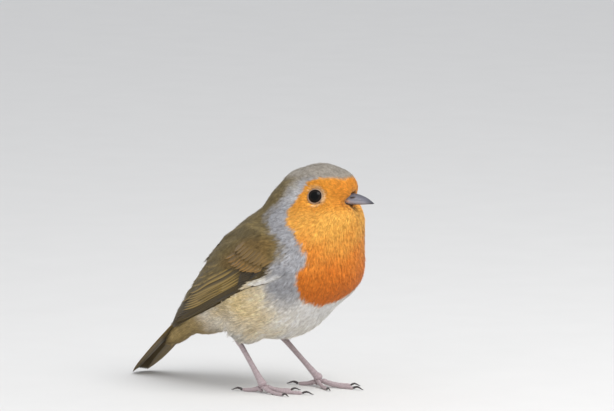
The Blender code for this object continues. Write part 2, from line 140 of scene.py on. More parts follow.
class StageSettings(bpy.types.PropertyGroup):
    floor: colour("Floor", "Plain pale floor", (0.72, 0.71, 0.69))
    sky: colour("Sky", "Soft light from all round", (0.80, 0.82, 0.86))
    sky_strength: FloatProperty(name="Sky strength", description="Strength of that light", default=0.95)
    key_power: FloatProperty(name="Key", description="Power of the key light", default=12.5, unit="POWER")
    fill_power: FloatProperty(name="Fill", description="Power of the fill light", default=3, unit="POWER")


SETTINGS = {
    "robin_coat": CoatSettings,
    "robin_plumage": PlumageColours,
    "robin_wing": WingColours,
    "robin_bare": BarePartColours,
    "robin_stage": StageSettings,
}


# Shader nodes

class Value:
    """A number that varies over a surface. Arithmetic on it adds Math nodes."""

    def __init__(self, nodes, socket):
        self.nodes = nodes
        self.socket = socket

    def maths(self, operation, *numbers):
        return self.nodes.add("ShaderNodeMath", {"operation": operation}, dict(enumerate(numbers)))

    def __add__(self, other):
        return self.maths("ADD", self, other)

    def __sub__(self, other):
        return self.maths("SUBTRACT", self, other)

    def __rsub__(self, other):
        return self.maths("SUBTRACT", other, self)

    def __mul__(self, other):
        return self.maths("MULTIPLY", self, other)

    __radd__ = __add__
    __rmul__ = __mul__

    def size(self):
        return self.maths("ABSOLUTE", self)

    def wave(self):
        return self.maths("SINE", self)

    def between(self, low, high):
        """Rises smoothly from 0 at low to 1 at high."""
        return self.nodes.add(
            "ShaderNodeMapRange", {"interpolation_type": "SMOOTHSTEP"}, {0: self, 1: low, 2: high}
        )


class Nodes:
    """The nodes of one material, round its Principled BSDF."""

    def __init__(self, name, constants):
        self.material = bpy.data.materials.new(name)
        self.material.use_nodes = True
        self.tree = self.material.node_tree
        self.shader = self.tree.nodes["Principled BSDF"]
        for socket, value in constants.items():
            self.shader.inputs[socket].default_value = value

    def add(self, kind, settings=None, inputs=None, output=0):
        """A new node: its settings first, then the value or link of each socket. Gives one output."""
        node = self.tree.nodes.new(kind)
        for key, value in (settings or {}).items():
            setattr(node, key, value)
        for key, value in (inputs or {}).items():
            self.feed(node.inputs[key], value)
        return Value(self, node.outputs[output])

    def feed(self, socket, value):
        if isinstance(value, Value):
            self.tree.links.new(value.socket, socket)
        else:
            socket.default_value = value

    def attribute(self, name):
        return self.add("ShaderNodeAttribute", {"attribute_name": name}, output="Color")

    def mix(self, first, second, share, blend="MIX"):
        settings = {"data_type": "RGBA", "blend_type": blend}
        return self.add("ShaderNodeMix", settings, {0: share, 6: first, 7: second}, 2)

    def noise(self, scale, detail=2.0):
        place = self.add("ShaderNodeTexCoord", output="Object")
        return self.add("ShaderNodeTexNoise", inputs={"Vector": place, "Scale": scale, "Detail": detail})

    def paint(self, value):
        self.feed(self.shader.inputs["Base Color"], value)

    def bump(self, height, distance, strength):
        inputs = {"Height": height, "Distance": distance, "Strength": strength}
        self.feed(self.shader.inputs["Normal"], self.add("ShaderNodeBump", inputs=inputs))


def mottled(name, constants, grain, dark, low=0.35, high=0.65, bump=None):
    """A piece in its own colour, a little darker in patches of a fine grain."""
    nodes = Nodes(name, constants)
    noise = nodes.noise(*grain)
    own = nodes.attribute("Plumage")
    darker = nodes.mix(own, (*dark, 1), 1.0, "MULTIPLY")
    nodes.paint(nodes.mix(darker, own, noise.between(low, high)))
    if bump:
        nodes.bump(noise, *bump)
    return nodes.material


def vane_material(name):
    """A firm feather: pale outer edge, dark shaft, and barbs that slant from the shaft to the edges."""
    nodes = Nodes(name, {"Roughness": 0.55, "Specular IOR Level": 0.35, "Sheen Weight": 0.05})
    vane = nodes.add("ShaderNodeUVMap", {"uv_map": "Vane"})
    parts = nodes.tree.nodes.new("ShaderNodeSeparateXYZ")
    nodes.feed(parts.inputs[0], vane)
    across = Value(nodes, parts.outputs[0])
    along = Value(nodes, parts.outputs[1])
    from_shaft = (across - SHAFT).size()
    barbs = ((along * 9.0 - from_shaft * 3.0) * 22.0).wave()
    plumage = nodes.attribute("Plumage")
    web = nodes.mix(plumage, (0.62, 0.60, 0.58, 1), barbs * 0.3 + 0.3, "MULTIPLY")
    edge = (1.0 - across.between(0.03, 0.24)) * along.between(0.03, 0.2)
    web = nodes.mix(web, nodes.attribute("Edge"), edge)
    shaft = 1.0 - from_shaft.between(0.008, 0.03)
    nodes.paint(nodes.mix(web, (0.035, 0.026, 0.018, 1), shaft * 0.75))
    nodes.bump(barbs * 0.5 + shaft * 2.0, 0.00004, 0.5)
    return nodes.material


def eye_material(name):
    """A wet black-brown eyeball."""
    gloss = {"Roughness": 0.15, "Specular IOR Level": 0.03, "Coat Weight": 0.16, "Coat Roughness": 0.02}
    nodes = Nodes(name, gloss)
    nodes.paint(nodes.mix(nodes.attribute("Plumage"), (0.004, 0.003, 0.003, 1), nodes.noise(900) * 0.3))
    return nodes.material


SOFT = {"Roughness": 0.72, "Specular IOR Level": 0.22, "Sheen Weight": 0.12, "Sheen Roughness": 0.5}
HORN = {"Roughness": 0.38, "Coat Weight": 0.25, "Coat Roughness": 0.25}
SCALES = {"Roughness": 0.48, "Specular IOR Level": 0.4}
MATERIALS = {  # how each is made: a function and its arguments
    "plumage": (mottled, SOFT, (700, 3.0), (0.80, 0.78, 0.76), 0.3, 0.7),
    "horn": (mottled, HORN, (2600, 4.0), (0.84, 0.83, 0.83), 0.35, 0.65, (0.00002, 0.3)),
    "scale": (mottled, SCALES, (3200, 3.0), (0.78, 0.72, 0.72), 0.35, 0.65, (0.00005, 0.35)),
    "vane": (vane_material,),
    "eye": (eye_material,),
}


def material_of(name):
    """The material of this name, made at its first use."""
    found = bpy.data.materials.get(name)
    if found:
        return found
    make, *arguments = MATERIALS[name]
    return make(name, *arguments)


# Meshes

def linked(name, data):
    """An object of this data, in the scene."""
    made = bpy.data.objects.new(name, data)
    bpy.context.scene.collection.objects.link(made)
    return made


def finished(work, name):
    """The mesh of a bmesh, which is then freed."""
    mesh = bpy.data.meshes.new(name)
    work.to_mesh(mesh)
    work.free()
    return mesh


def join(work, part):
    """Moves one bmesh into another."""
    passing = finished(part, "passing")
    work.from_mesh(passing)
    bpy.data.meshes.remove(passing)


def soften(work, verts, rounds=1):
    """Draws vertices towards their neighbours."""
    for _ in range(rounds):
        bmesh.ops.smooth_vert(
            work, verts=verts, factor=0.5, use_axis_x=True, use_axis_y=True, use_axis_z=True
        )


def piece(name, mesh, material, slot, *replaced):
    """A finished piece of the robin, riding on its one body."""
    mesh.materials.clear()
    mesh.materials.append(material_of(material))
    mesh.shade_smooth()
    made = linked(name, mesh)
    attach(made, "root")
    if replaced:
        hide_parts(*replaced)
    return made


def numbers(parts, attribute, width, kind=float):
    """One attribute of a mesh's parts, as rows of this width."""
    flat = np.empty(len(parts) * width, kind)
    parts.foreach_get(attribute, flat)
    return flat.reshape(-1, width)


def places_of(mesh):
    """The vertices' places from the bird's own origin, in millimetres."""
    return numbers(mesh.vertices, "co", 3) / MM - np.array(ORIGIN)


def seen_from(seat, mesh):
    """The vertices' places in a frame of their own."""
    back = np.array(seat.inverted())
    return numbers(mesh.vertices, "co", 3) @ back[:3, :3].T + back[:3, 3]


def in_frame(places):
    """The same places in the frame, in metres."""
    return (places + np.array(ORIGIN)) * MM


def paint(mesh, colours, name="Plumage"):
    """Gives each vertex its colour."""
    rgba = np.ones((len(mesh.vertices), 4), np.float32)
    rgba[:, :3] = np.clip(colours, 0, 1)
    layer = mesh.color_attributes.new(name, "FLOAT_COLOR", "POINT")
    layer.data.foreach_set("color", rgba.ravel())


def map_corners(mesh, name, places):
    """A UV map from one place for each vertex."""
    corners = numbers(mesh.loops, "vertex_index", 1, np.int32)[:, 0]
    layer = mesh.uv_layers.new(name=name)
    layer.uv.foreach_set("vector", places[corners].astype(np.float32).ravel())


def mesh_of(name, places, faces):
    """A mesh from arrays of places, in millimetres from the bird's origin, and of corners."""
    mesh = bpy.data.meshes.new(name)
    mesh.from_pydata(in_frame(places), [], faces)
    return mesh


def merged(node):
    """A bmesh copy of a frame node, its loose triangles joined."""
    work = bmesh.new()
    work.from_mesh(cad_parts[node].data)
    bmesh.ops.remove_doubles(work, verts=work.verts, dist=1e-6)
    work.normal_update()
    return work


def smoothed_union(nodes, grow, voxel, rounds, stubs=()):
    """One smooth closed mesh round several frame nodes, which first grow enough to close their gaps.
    Of a stub, only what lies behind its plane is taken: a name, a point on the plane and its way out."""
    together = bmesh.new()
    for node, *plane in (*((node,) for node in nodes), *stubs):
        work = merged(node)
        if plane:
            everything = work.verts[:] + work.edges[:] + work.faces[:]
            point, way = plane
            bmesh.ops.bisect_plane(
                work, geom=everything, plane_co=point, plane_no=way, clear_outer=True
            )
            bmesh.ops.holes_fill(work, edges=work.edges)
            bmesh.ops.triangulate(work, faces=work.faces)
            bmesh.ops.recalc_face_normals(work, faces=work.faces)
            work.normal_update()
        for vert in work.verts:
            vert.co += vert.normal * grow * MM
        join(together, work)
    mesh = finished(together, "union")
    union = linked("union", mesh)
    fuse = union.modifiers.new("fuse", "REMESH")
    fuse.mode = "VOXEL"
    fuse.voxel_size = voxel * MM
    even = union.modifiers.new("even", "SMOOTH")
    even.factor = 0.5
    even.iterations = rounds
    graph = bpy.context.evaluated_depsgraph_get()
    smooth = bpy.data.meshes.new_from_object(union.evaluated_get(graph))
    bpy.data.objects.remove(union)
    bpy.data.meshes.remove(mesh)
    return smooth


def unit(vectors):
    """The vectors' directions."""
    return vectors / np.maximum(np.linalg.norm(vectors, axis=-1, keepdims=True), 1e-9)


def blend(under, over, share):
    """Colours laid over others, each by a share from 0 to 1."""
    return under + (np.array(over) - under) * np.clip(share, 0, 1)[:, None]


def ease(low, high, values):
    """Rises smoothly from 0 at low to 1 at high."""
    share = np.clip((values - low) / (high - low), 0, 1)
    return share * share * (3 - 2 * share)


def uneven(places, size, offset=0.0):
    """Smooth unevenness from -1 to 1, with patches about this many millimetres across."""
    total = np.zeros(len(places))
    for i, way in enumerate(((1, 0.4, -0.3), (-0.5, 1, 0.6), (0.3, -0.7, 1), (0.8, 0.8, -0.9))):
        total += np.sin(places @ np.array(way) * 2.6 / size * (1 + 0.37 * i) + offset + 1.9 * i)
    return total / 4


# The head's own frame, from the eyes

def head_frame():
    """The head's place and turn, in millimetres."""
    turn = Matrix.Rotation(HEAD_TURN, 4, "Z")
    return Matrix.Translation(EYE_LINE) @ turn @ Matrix.Diagonal((MM, MM, MM, 1))


NECK_TURN = (56.0, 70.0)  # heights between which the head's turn comes in
HEAD_PIVOT = (16.0, 1.5)


def straightened(places):
    """Places with the head's turn taken out, so that both sides of the bird are alike."""
    turn = -HEAD_TURN * ease(*NECK_TURN, places[:, 2])
    x = places[:, 0] - HEAD_PIVOT[0]
    y = places[:, 1] - HEAD_PIVOT[1] * ease(*NECK_TURN, places[:, 2])
    straight = places.copy()
    straight[:, 0] = x * np.cos(turn) - y * np.sin(turn) + HEAD_PIVOT[0]
    straight[:, 1] = x * np.sin(turn) + y * np.cos(turn)
    return straight


# Feather tracts. Each has a place on the straightened right or left side, how far it reaches, and its
# feathers: length, width, coat depth, number to a square millimetre, and the way they lie, or None
# where they point away from the bill.

TRACTS = {
    "lores": ((25.0, 4.5, 79.0), 4.0, 1.9, 0.6, 0.40, 8.5, None),
    "forehead": ((25.5, 2.0, 85.0), 5.0, 2.6, 0.8, 0.60, 6.5, None),
    "round_eye": ((17.6, 9.0, 79.0), 4.0, 1.5, 0.5, 0.40, 10.0, None),
    "crown": ((11.0, 3.0, 90.0), 8.0, 4.2, 1.0, 0.90, 3.6, None),
    "cheek": ((10.0, 11.0, 73.0), 6.0, 4.2, 0.9, 0.90, 4.2, None),
    "chin": ((26.0, 3.0, 72.0), 5.0, 3.0, 0.8, 0.70, 5.0, None),
    "throat": ((28.0, 7.0, 64.0), 8.0, 5.4, 1.1, 1.20, 3.2, (-0.10, 0.0, -1.0)),
    "nape": ((-2.0, 8.0, 78.0), 8.0, 5.0, 1.2, 1.10, 2.8, (-0.85, 0.0, -0.5)),
    "neck_side": ((9.0, 18.0, 65.0), 6.0, 5.6, 1.0, 1.20, 3.4, (-1.0, 0.0, -0.35)),
    "breast": ((26.0, 9.0, 49.0), 11.0, 6.6, 1.3, 1.50, 2.4, (-0.15, 0.0, -1.0)),
    "breast_side": ((15.0, 21.0, 50.0), 7.0, 6.2, 1.1, 1.40, 2.9, (-1.0, 0.0, -0.38)),
    "belly": ((8.0, 7.0, 25.0), 12.0, 8.0, 1.7, 1.80, 1.6, (-1.0, 0.0, 0.0)),
    "flank": ((-8.0, 20.0, 36.0), 11.0, 8.0, 1.6, 1.80, 1.8, (-1.0, 0.0, -0.26)),
    "mantle": ((-12.0, 7.0, 66.0), 12.0, 5.6, 1.5, 1.20, 2.2, (-0.72, 0.0, -0.7)),
    "scapulars": ((-6.0, 18.0, 62.0), 8.0, 5.8, 1.5, 1.20, 2.2, (-0.8, 0.0, -0.6)),
    "rump": ((-35.0, 6.0, 46.0), 11.0, 6.4, 1.6, 1.20, 1.9, (-0.74, 0.0, -0.67)),
    "vent": ((-34.0, 7.0, 26.0), 11.0, 7.6, 1.7, 1.50, 1.8, (-0.9, 0.0, -0.42)),
    "under_tail": ((-51.0, 3.0, 22.0), 8.0, 7.2, 1.6, 1.00, 1.9, (-0.78, 0.0, -0.62)),
    "thigh": ((-15.0, 14.0, 20.0), 6.0, 4.8, 1.0, 0.90, 3.2, (-0.45, 0.0, -0.9)),
    "lesser_coverts": ((4.0, 25.0, 60.0), 6.0, 4.2, 1.4, 0.80, 2.8, (-0.88, 0.0, -0.45)),
}
BILL_FOOT = (34.0, 0.0, 77.0)  # where the feathers of the face spread from
EYE_PLACE = (17.57, 7.4, 78.75)
EYE_AXIS = (0.25, 0.93, 0.2)  # the way the left eye looks
LID_REACH = 2.95  # no feather comes closer to an eye's axis than this


def turned(vectors, heights):
    """Vectors of the straightened bird, turned as the head is at these heights."""
    turn = HEAD_TURN * ease(*NECK_TURN, heights)
    x, y, z = vectors.T
    return np.stack([x * np.cos(turn) - y * np.sin(turn), x * np.sin(turn) + y * np.cos(turn), z], 1)


def eye_place(straight):
    """Of straightened places: how far from the nearer eye's axis, the way out from the axis, how far
    ahead of the eye's middle, and the axis."""
    side = np.where(straight[:, 1] < 0, -1.0, 1.0)[:, None]
    mirror = np.concatenate([np.ones_like(side), side, np.ones_like(side)], 1)
    axis = unit(np.array(EYE_AXIS) * mirror)
    away = straight - np.array(EYE_PLACE) * mirror
    ahead = (away * axis).sum(1)
    across = away - axis * ahead[:, None]
    far = np.where(ahead > 0.6, np.linalg.norm(across, axis=1), 99.0)
    return far, unit(across), ahead, axis


EYE_HOLLOW = (2.35, 0.62)  # height of the lids over the eye's middle, and how steeply the face rises
GAPE_LINE = (29.0, -0.056)  # the cutting edge of the bill: where it is at its foot, and its slope


def hollowed(places):
    """The outline with the face sunk to the lids round each eye and drawn back from the gape."""
    far, _, ahead, axis = eye_place(straightened(places))
    cap = EYE_HOLLOW[0] + EYE_HOLLOW[1] * np.maximum(far - LID_REACH, 0)
    over = ahead - cap
    sink = np.where(far < 30, np.maximum(over, 0) + 0.25 * np.exp(-np.abs(over) / 0.5), 0)
    x, y, z = straightened(places).T
    over = z - BILL_FOOT[2] - GAPE_LINE[1] * (x - GAPE_LINE[0])
    notch = 0.5 + 1.7 * np.exp(-((over / 1.5) ** 2))
    notch = notch * ease(7.0, 3.0, np.hypot(y, over)) * ease(20, 25, x)
    back = axis * sink[:, None] + np.array((1, 0, 0)) * notch[:, None]
    return places - turned(back, places[:, 2])


def tract_distances(straight):
    """How far straightened places are from each tract, as shares of its reach: a row for each tract."""
    folded = np.stack([straight[:, 0], np.abs(straight[:, 1]), straight[:, 2]], 1)
    return [
        np.linalg.norm(folded - np.array(place), axis=1) / reach for place, reach, *_ in TRACTS.values()
    ]


def tract_values(straight):
    """Feather length, width, depth and density, and the way of the lie, at straightened places."""
    total = np.full((len(straight), 1), 1e-9)
    sizes = np.zeros((len(straight), 4))
    lie = np.zeros((len(straight), 3))
    from_bill = unit(straight - np.array(BILL_FOOT))
    for far, (_, _, *feather, way) in zip(tract_distances(straight), TRACTS.values()):
        weight = (1 / (1 + far ** 4))[:, None]
        total += weight
        sizes += weight * np.array(feather)
        lie += weight * (from_bill if way is None else np.array(way))
    far, out = eye_place(straight)[:2]
    close = 1 - ease(3.0, 6.0, far)
    lie = unit(lie)
    towards = np.minimum((lie * out).sum(1), 0) * 1.1 - 0.35
    return sizes / total, unit(lie - out * (towards * close)[:, None])


# Markings, on the straightened bird

ORANGE_EDGE = (  # height, and how far forward the orange begins at that height
    (36.0, 20.5), (44.0, 20.4), (48.0, 21.0), (50.5, 22.0), (53.0, 24.4), (56.0, 24.2), (60.0, 21.0),
    (63.0, 18.4), (65.5, 14.6), (69.0, 9.2), (73.0, 8.0), (77.0, 10.2), (80.0, 12.4), (82.5, 13.2),
    (84.5, 14.6), (86.5, 19.0),
)
BAND_EDGE = (  # height, and how far forward the blue-grey band begins
    (36.0, 8.0), (46.0, 9.0), (56.8, 16.0), (60.0, 14.0), (63.0, 10.0), (65.8, 4.4), (68.0, -1.4),
    (71.0, -2.6), (75.0, 1.4), (79.0, 5.4), (83.0, 9.0), (87.0, 12.5),
)
ORANGE_TOP = 86.2
BIB_FOOT = (36.2, -7.0, 0.028, 43.0)  # lowest point, its side, how fast it rises, and where it stops
BACK_EDGE = (50.6, 0.53)  # height of the edge between back and flank, and its slope
WHITE_STREAK = ((13.0, 23.8, 48.2), (1.5, 25.6, 43.6))  # along the lower edge of the folded wing
GAPE_STREAK = ((28.0, 3.0, 76.4), (22.0, 8.0, 75.8))  # behind the corner of the mouth


def streak(x, out, z, ends, reach):
    """Share from 0 to 1 of a soft line on both sides of the bird."""
    places = np.stack([x, out, z], 1)
    start, finish = np.array(ends)
    whole = finish - start
    part = np.clip((places - start) @ whole / (whole @ whole), 0, 1)
    far = np.linalg.norm(places - start - part[:, None] * whole, axis=1)
    return np.exp(-((far / reach) ** 2))


def knots(table, heights):
    """A line given by its knots, at these heights."""
    return np.interp(heights, *np.array(table).T)


def plumage(places, colours):
    """Feather colour at places on the bird. The skin and the coat both wear it."""
    straight = straightened(places)
    x, y, z = straight.T
    out = np.abs(y)

    def patch(centre, reach):
        far = np.linalg.norm(np.stack([x, out, z], 1) - np.array(centre), axis=1)
        return np.exp(-((far / reach) ** 2))

    ragged = uneven(places, 3.0) * 0.9
    blotches = uneven(places, 9.0)
    drawn_out = places * (0.3, 1, 1)
    strands = uneven(drawn_out, 2.4) + 0.5 * uneven(drawn_out, 1.3, 2.0)
    back = z - BACK_EDGE[0] - BACK_EDGE[1] * np.minimum(x, 0) + ragged
    # The band fades out low down, between heights 29 and 43: its own blue-grey, carried lower as painted
    # shade below the wing's lower edge.
    band = ease(-3.5, 2.5, x - knots(BAND_EDGE, z) + ragged * 2) * ease(29, 43, z + ragged)
    band = np.where(z > 66, band, band * ease(12, 17, out))
    crown = ease(83.0, 87.5, z + ragged + (out - 6) * -0.25)
    orange = ease(-1.0, 1.0, x - knots(ORANGE_EDGE, z) + ragged)
    orange = orange * ease(ORANGE_TOP + 0.9, ORANGE_TOP - 0.9, z + ragged * 0.6)
    low, centre, rise, stop = BIB_FOOT
    foot = np.minimum(low + rise * (y - centre) ** 2, stop)
    orange = orange * ease(-0.9, 0.9, z - foot + ragged)
    lid_ring = ease(4.7, 3.8, eye_place(straight)[0] + 0.3 * uneven(places, 2.0))
    tone = np.tile(np.array(colours.belly), (len(places), 1))
    for name, share in (
        ("flank", patch((-8, 20, 38), 14) * 0.95),
        ("flank", (0.3 + 0.3 * blotches) * ease(18, 0, x)),
        ("vent", ease(0.1, 1.1, strands) * 0.3 * ease(12, -2, x)),
        ("belly", ease(0.1, 1.0, -strands) * 0.5),
        ("vent", patch((-20, 18, 31), 9) * (0.45 + 0.35 * uneven(places, 6.0))),
        ("vent", ease(-26, -42, x) * 0.95),
        # The thigh colour carries painted shade.
        ("thigh", patch((-15, 14, 19), 7)),
        ("back", ease(-2.5, 2.5, back)),
        ("band", band * ease(92, 87, z)),
        ("belly", patch((9, 12, 81), 5) * 0.3),
        ("crown", crown * ease(-6, 6, x)),
        ("throat", orange),
        ("breast", orange * ease(74, 49, z + 5 * blotches + 0.25 * x - 6)),
        ("bib_foot", orange * ease(62, 38, z + 2 * uneven(places, 8.0)) * 0.75),
        ("face", orange * ease(71, 76, z)),
        ("breast", orange * patch((27, 3, 82), 6) * 0.5),
        ("belly", streak(x, out, z, WHITE_STREAK, 1.3)),
        ("eye_ring", streak(x, out, z, GAPE_STREAK, 0.8) * 0.8),
        ("eye_ring", lid_ring * 0.8),
    ):
        tone = blend(tone, getattr(colours, name), share)
    return tone


# The body's shape, its skin and its coat

ANKLE_DROP = 3.5  # how far below its top a tarsus leaves the flesh
SHOULDER = 58.0  # above this height the wings' shoulders belong to the body's outline
SHOULDER_DIP = (13.0, (58.5, 70.0))  # where back and shoulder are eased together: half length, heights


@functools.cache
def body_shape():
    """The outline that the coat's tips lie on: places, normals, triangles, and each corner's UV."""
    seat = head_frame()
    face = seat @ Vector(BILL_BASE)
    ahead = (seat.to_3x3() @ Vector((1, 0, 0))).normalized()
    stubs = [(half, face, ahead) for half in ("bill_upper", "bill_lower")]
    for side in SIDES:
        low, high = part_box(f"tarsus_{side}")
        ankle = Vector((low.x, (low.y + high.y) / 2, high.z - ANKLE_DROP * MM))
        stubs.append((f"tarsus_{side}", ankle, Vector((0.63, 0, -0.77))))
        stubs.append((f"wing_{side}", Vector((0, 0, SHOULDER * MM)), Vector((0, 0, -1))))
    mesh = smoothed_union(FLESH + ("eye_left", "eye_right"), 0.3, 0.7, 8, stubs)
    mesh.vertices.foreach_set("co", in_frame(hollowed(places_of(mesh))).ravel())
    work = bmesh.new()
    work.from_mesh(mesh)
    x, y, z = places_of(mesh).T
    low, high = SHOULDER_DIP[1]
    dip = (np.abs(x - 1) < SHOULDER_DIP[0]) & (np.abs(y) > 13) & (z > low) & (z < high)
    work.verts.ensure_lookup_table()
    soften(work, [work.verts[i] for i in np.flatnonzero(dip)], 50)
    work.to_mesh(mesh)
    work.free()
    mesh.update()
    unwrap(mesh)
    mesh.calc_loop_triangles()
    corners = numbers(mesh.loop_triangles, "loops", 3, np.int32)
    shape = (
        places_of(mesh), numbers(mesh.vertices, "normal", 3),
        numbers(mesh.loop_triangles, "vertices", 3, np.int32),
        numbers(mesh.uv_layers["OFBake"].uv, "vector", 2)[corners],
    )
    bpy.data.meshes.remove(mesh)
    return shape


def unwrap(mesh):
    """An OFBake map of the mesh's own shape."""
    mesh.uv_layers.active = mesh.uv_layers.new(name="OFBake")
    passing = linked("passing", mesh)
    bpy.context.view_layer.objects.active = passing
    passing.select_set(True)
    bpy.ops.object.mode_set(mode="EDIT")
    bpy.ops.mesh.select_all(action="SELECT")
    bpy.ops.uv.smart_project(angle_limit=math.radians(66), island_margin=0.004)
    bpy.ops.object.mode_set(mode="OBJECT")
    bpy.data.objects.remove(passing)


def corners_of(faces):
    """The indices of the faces' vertices."""
    return np.array([[vert.index for vert in face.verts] for face in faces])


def shape_of(work):
    """The places, normals and triangles of a bmesh, which is then freed."""
    bmesh.ops.triangulate(work, faces=work.faces)
    work.verts.index_update()
    places = np.array([vert.co / MM - ORIGIN for vert in work.verts])
    normals = np.array([vert.normal for vert in work.verts])
    faces = corners_of(work.faces)
    work.free()
    return places, normals, faces


@functools.cache
def wing_shape(side):
    """The outer faces of one folded wing: places, normals and triangles."""
    work = bmesh.new()
    for node in (f"wing_{side}", f"flight_feathers_{side}"):
        join(work, merged(node))
    outward = Vector((0, SIDES[side] * 0.9, 0.43))
    inner = [
        face for face in work.faces if face.normal.dot(outward) < -0.35
        or abs(face.normal.x) > 0.8 and face.calc_center_median().x < ORIGIN.x * MM
    ]
    bmesh.ops.delete(work, geom=inner, context="FACES")
    return shape_of(work)


def tree_of(*shapes):
    """A search tree of one or more shapes."""
    places = []
    faces = []
    for shape in shapes:
        faces.extend((shape[2] + len(places)).tolist())
        places.extend(shape[0].tolist())
    return BVHTree.FromPolygons(places, faces)


def cast(tree, starts, ways, reach):
    """Where rays meet a tree: places, normals and whether they met it."""
    places = np.array(starts)
    normals = -ways
    met = np.zeros(len(starts), bool)
    for i, (start, way) in enumerate(zip(starts.tolist(), ways.tolist())):
        place, normal, _, _ = tree.ray_cast(start, way, reach)
        if place is not None:
            places[i] = place
            normals[i] = normal
            met[i] = True
    return places, normals, met


def inside(tree, points, reach):
    """Which points lie inside the closed shapes of a tree, or no further outside them than reach."""
    found = np.zeros(len(points), bool)
    for i, point in enumerate(points.tolist()):
        place, normal, _, _ = tree.find_nearest(point, 4.0)
        if place is not None:
            found[i] = (Vector(point) - place).dot(normal) < reach
    return found


def gaps(tree, points):
    """How far points are from the nearest surface of a tree."""
    return np.array([tree.find_nearest(point)[3] for point in points.tolist()])


def tucked(wings, points, depth):
    """Points that would lie over a wing, brought this deep under its surface."""
    points = points.copy()
    for i, point in enumerate(points.tolist()):
        place, normal, _, _ = wings.find_nearest(point, 5.0)
        if place is not None:
            away = Vector(point) - place
            height = away.dot(normal)
            if height > -depth and (away - normal * height).length < 0.6:
                points[i] -= np.array(normal) * (height + depth)
    return points


def roots_on(shape, density, chance):
    """Evenly scattered roots on a shape: places, normals and UVs. Density is a number for each face."""
    places, normals, faces = shape[:3]
    corners = places[faces]
    cross = np.cross(corners[:, 1] - corners[:, 0], corners[:, 2] - corners[:, 0])
    wanted = np.linalg.norm(cross, axis=1) / 2 * density
    count = np.floor(wanted + chance.random(len(wanted))).astype(int)
    chosen = np.repeat(np.arange(len(faces)), count)
    shares = chance.dirichlet((1, 1, 1), len(chosen))[:, :, None]
    uvs = shape[3][chosen] if len(shape) > 3 else corners[chosen][:, :, (0, 2)] * 0.01
    return (
        (corners[chosen] * shares).sum(1),
        unit((normals[faces[chosen]] * shares).sum(1)),
        (uvs * shares).sum(1),
    )


BARBS = 8  # in each tuft


def tufts(chance, kinds=8):
    """Feathers made of narrow barbs that fan from the root. For each kind and vertex: the share of
    the length, the sideways place and the height as shares of the width, and the barb's number."""
    blade = bmesh.new()
    bmesh.ops.create_grid(blade, x_segments=1, y_segments=3, size=0.5)
    tip = [vert for vert in blade.verts if vert.co.y > 0.49]
    bmesh.ops.pointmerge(blade, verts=tip, merge_co=(0, 0.5, 0))
    bmesh.ops.triangulate(blade, faces=blade.faces)
    blade.verts.index_update()
    across, along = np.array([vert.co[:2] for vert in blade.verts]).T
    faces = corners_of(blade.faces)
    blade.free()
    along = along + 0.5
    barb = np.arange(BARBS)[None, :, None]
    spread = (barb + 0.5) / BARBS - 0.5 + chance.uniform(-0.05, 0.05, (kinds, BARBS, 1))
    end = 1.02 - 0.7 * spread ** 2 + chance.uniform(-0.32, 0.06, (kinds, BARBS, 1))
    length = along * end
    width = 0.2 * np.sin(np.pi * np.clip(0.2 + along * 0.8, 0, 1)) + 0.02 * (along < 0.99)
    sideways = spread * (0.35 + 0.75 * along ** 0.7) + across * width
    curl = chance.uniform(-0.05, 0.09, (kinds, BARBS, 1))
    height = -0.9 * spread ** 2 * along + curl * along ** 2
    number = np.broadcast_to(barb, length.shape)
    whole = np.stack([length, sideways, height, number], -1).reshape(kinds, -1, 4)
    faces = (faces[None] + len(along) * np.arange(BARBS)[:, None, None]).reshape(-1, 3)
    return whole, faces


FLANK = (6.0, 51.0)  # behind and below this, the body may lie under a folded wing
BACK = (0.0, 45.0)  # behind and above this, no tuft may reach past the bird's outline
OVER = 5.0  # how far over the surface the rays that lay the tufts start
TUCK = 1.7  # how deep under the wing's surface the flank's tufts are kept
TAIL_START = -45.0  # behind this the coat tapers onto the tail
STEEPEST = (0.86, 0.3)  # sine of the steepest lie off the surface: on the body, and onto the tail
STAND_OFF = (1.2, 0.8, 1.0, 9.0)  # how far a tip may stand off: in front, on the back, the tail, the legs


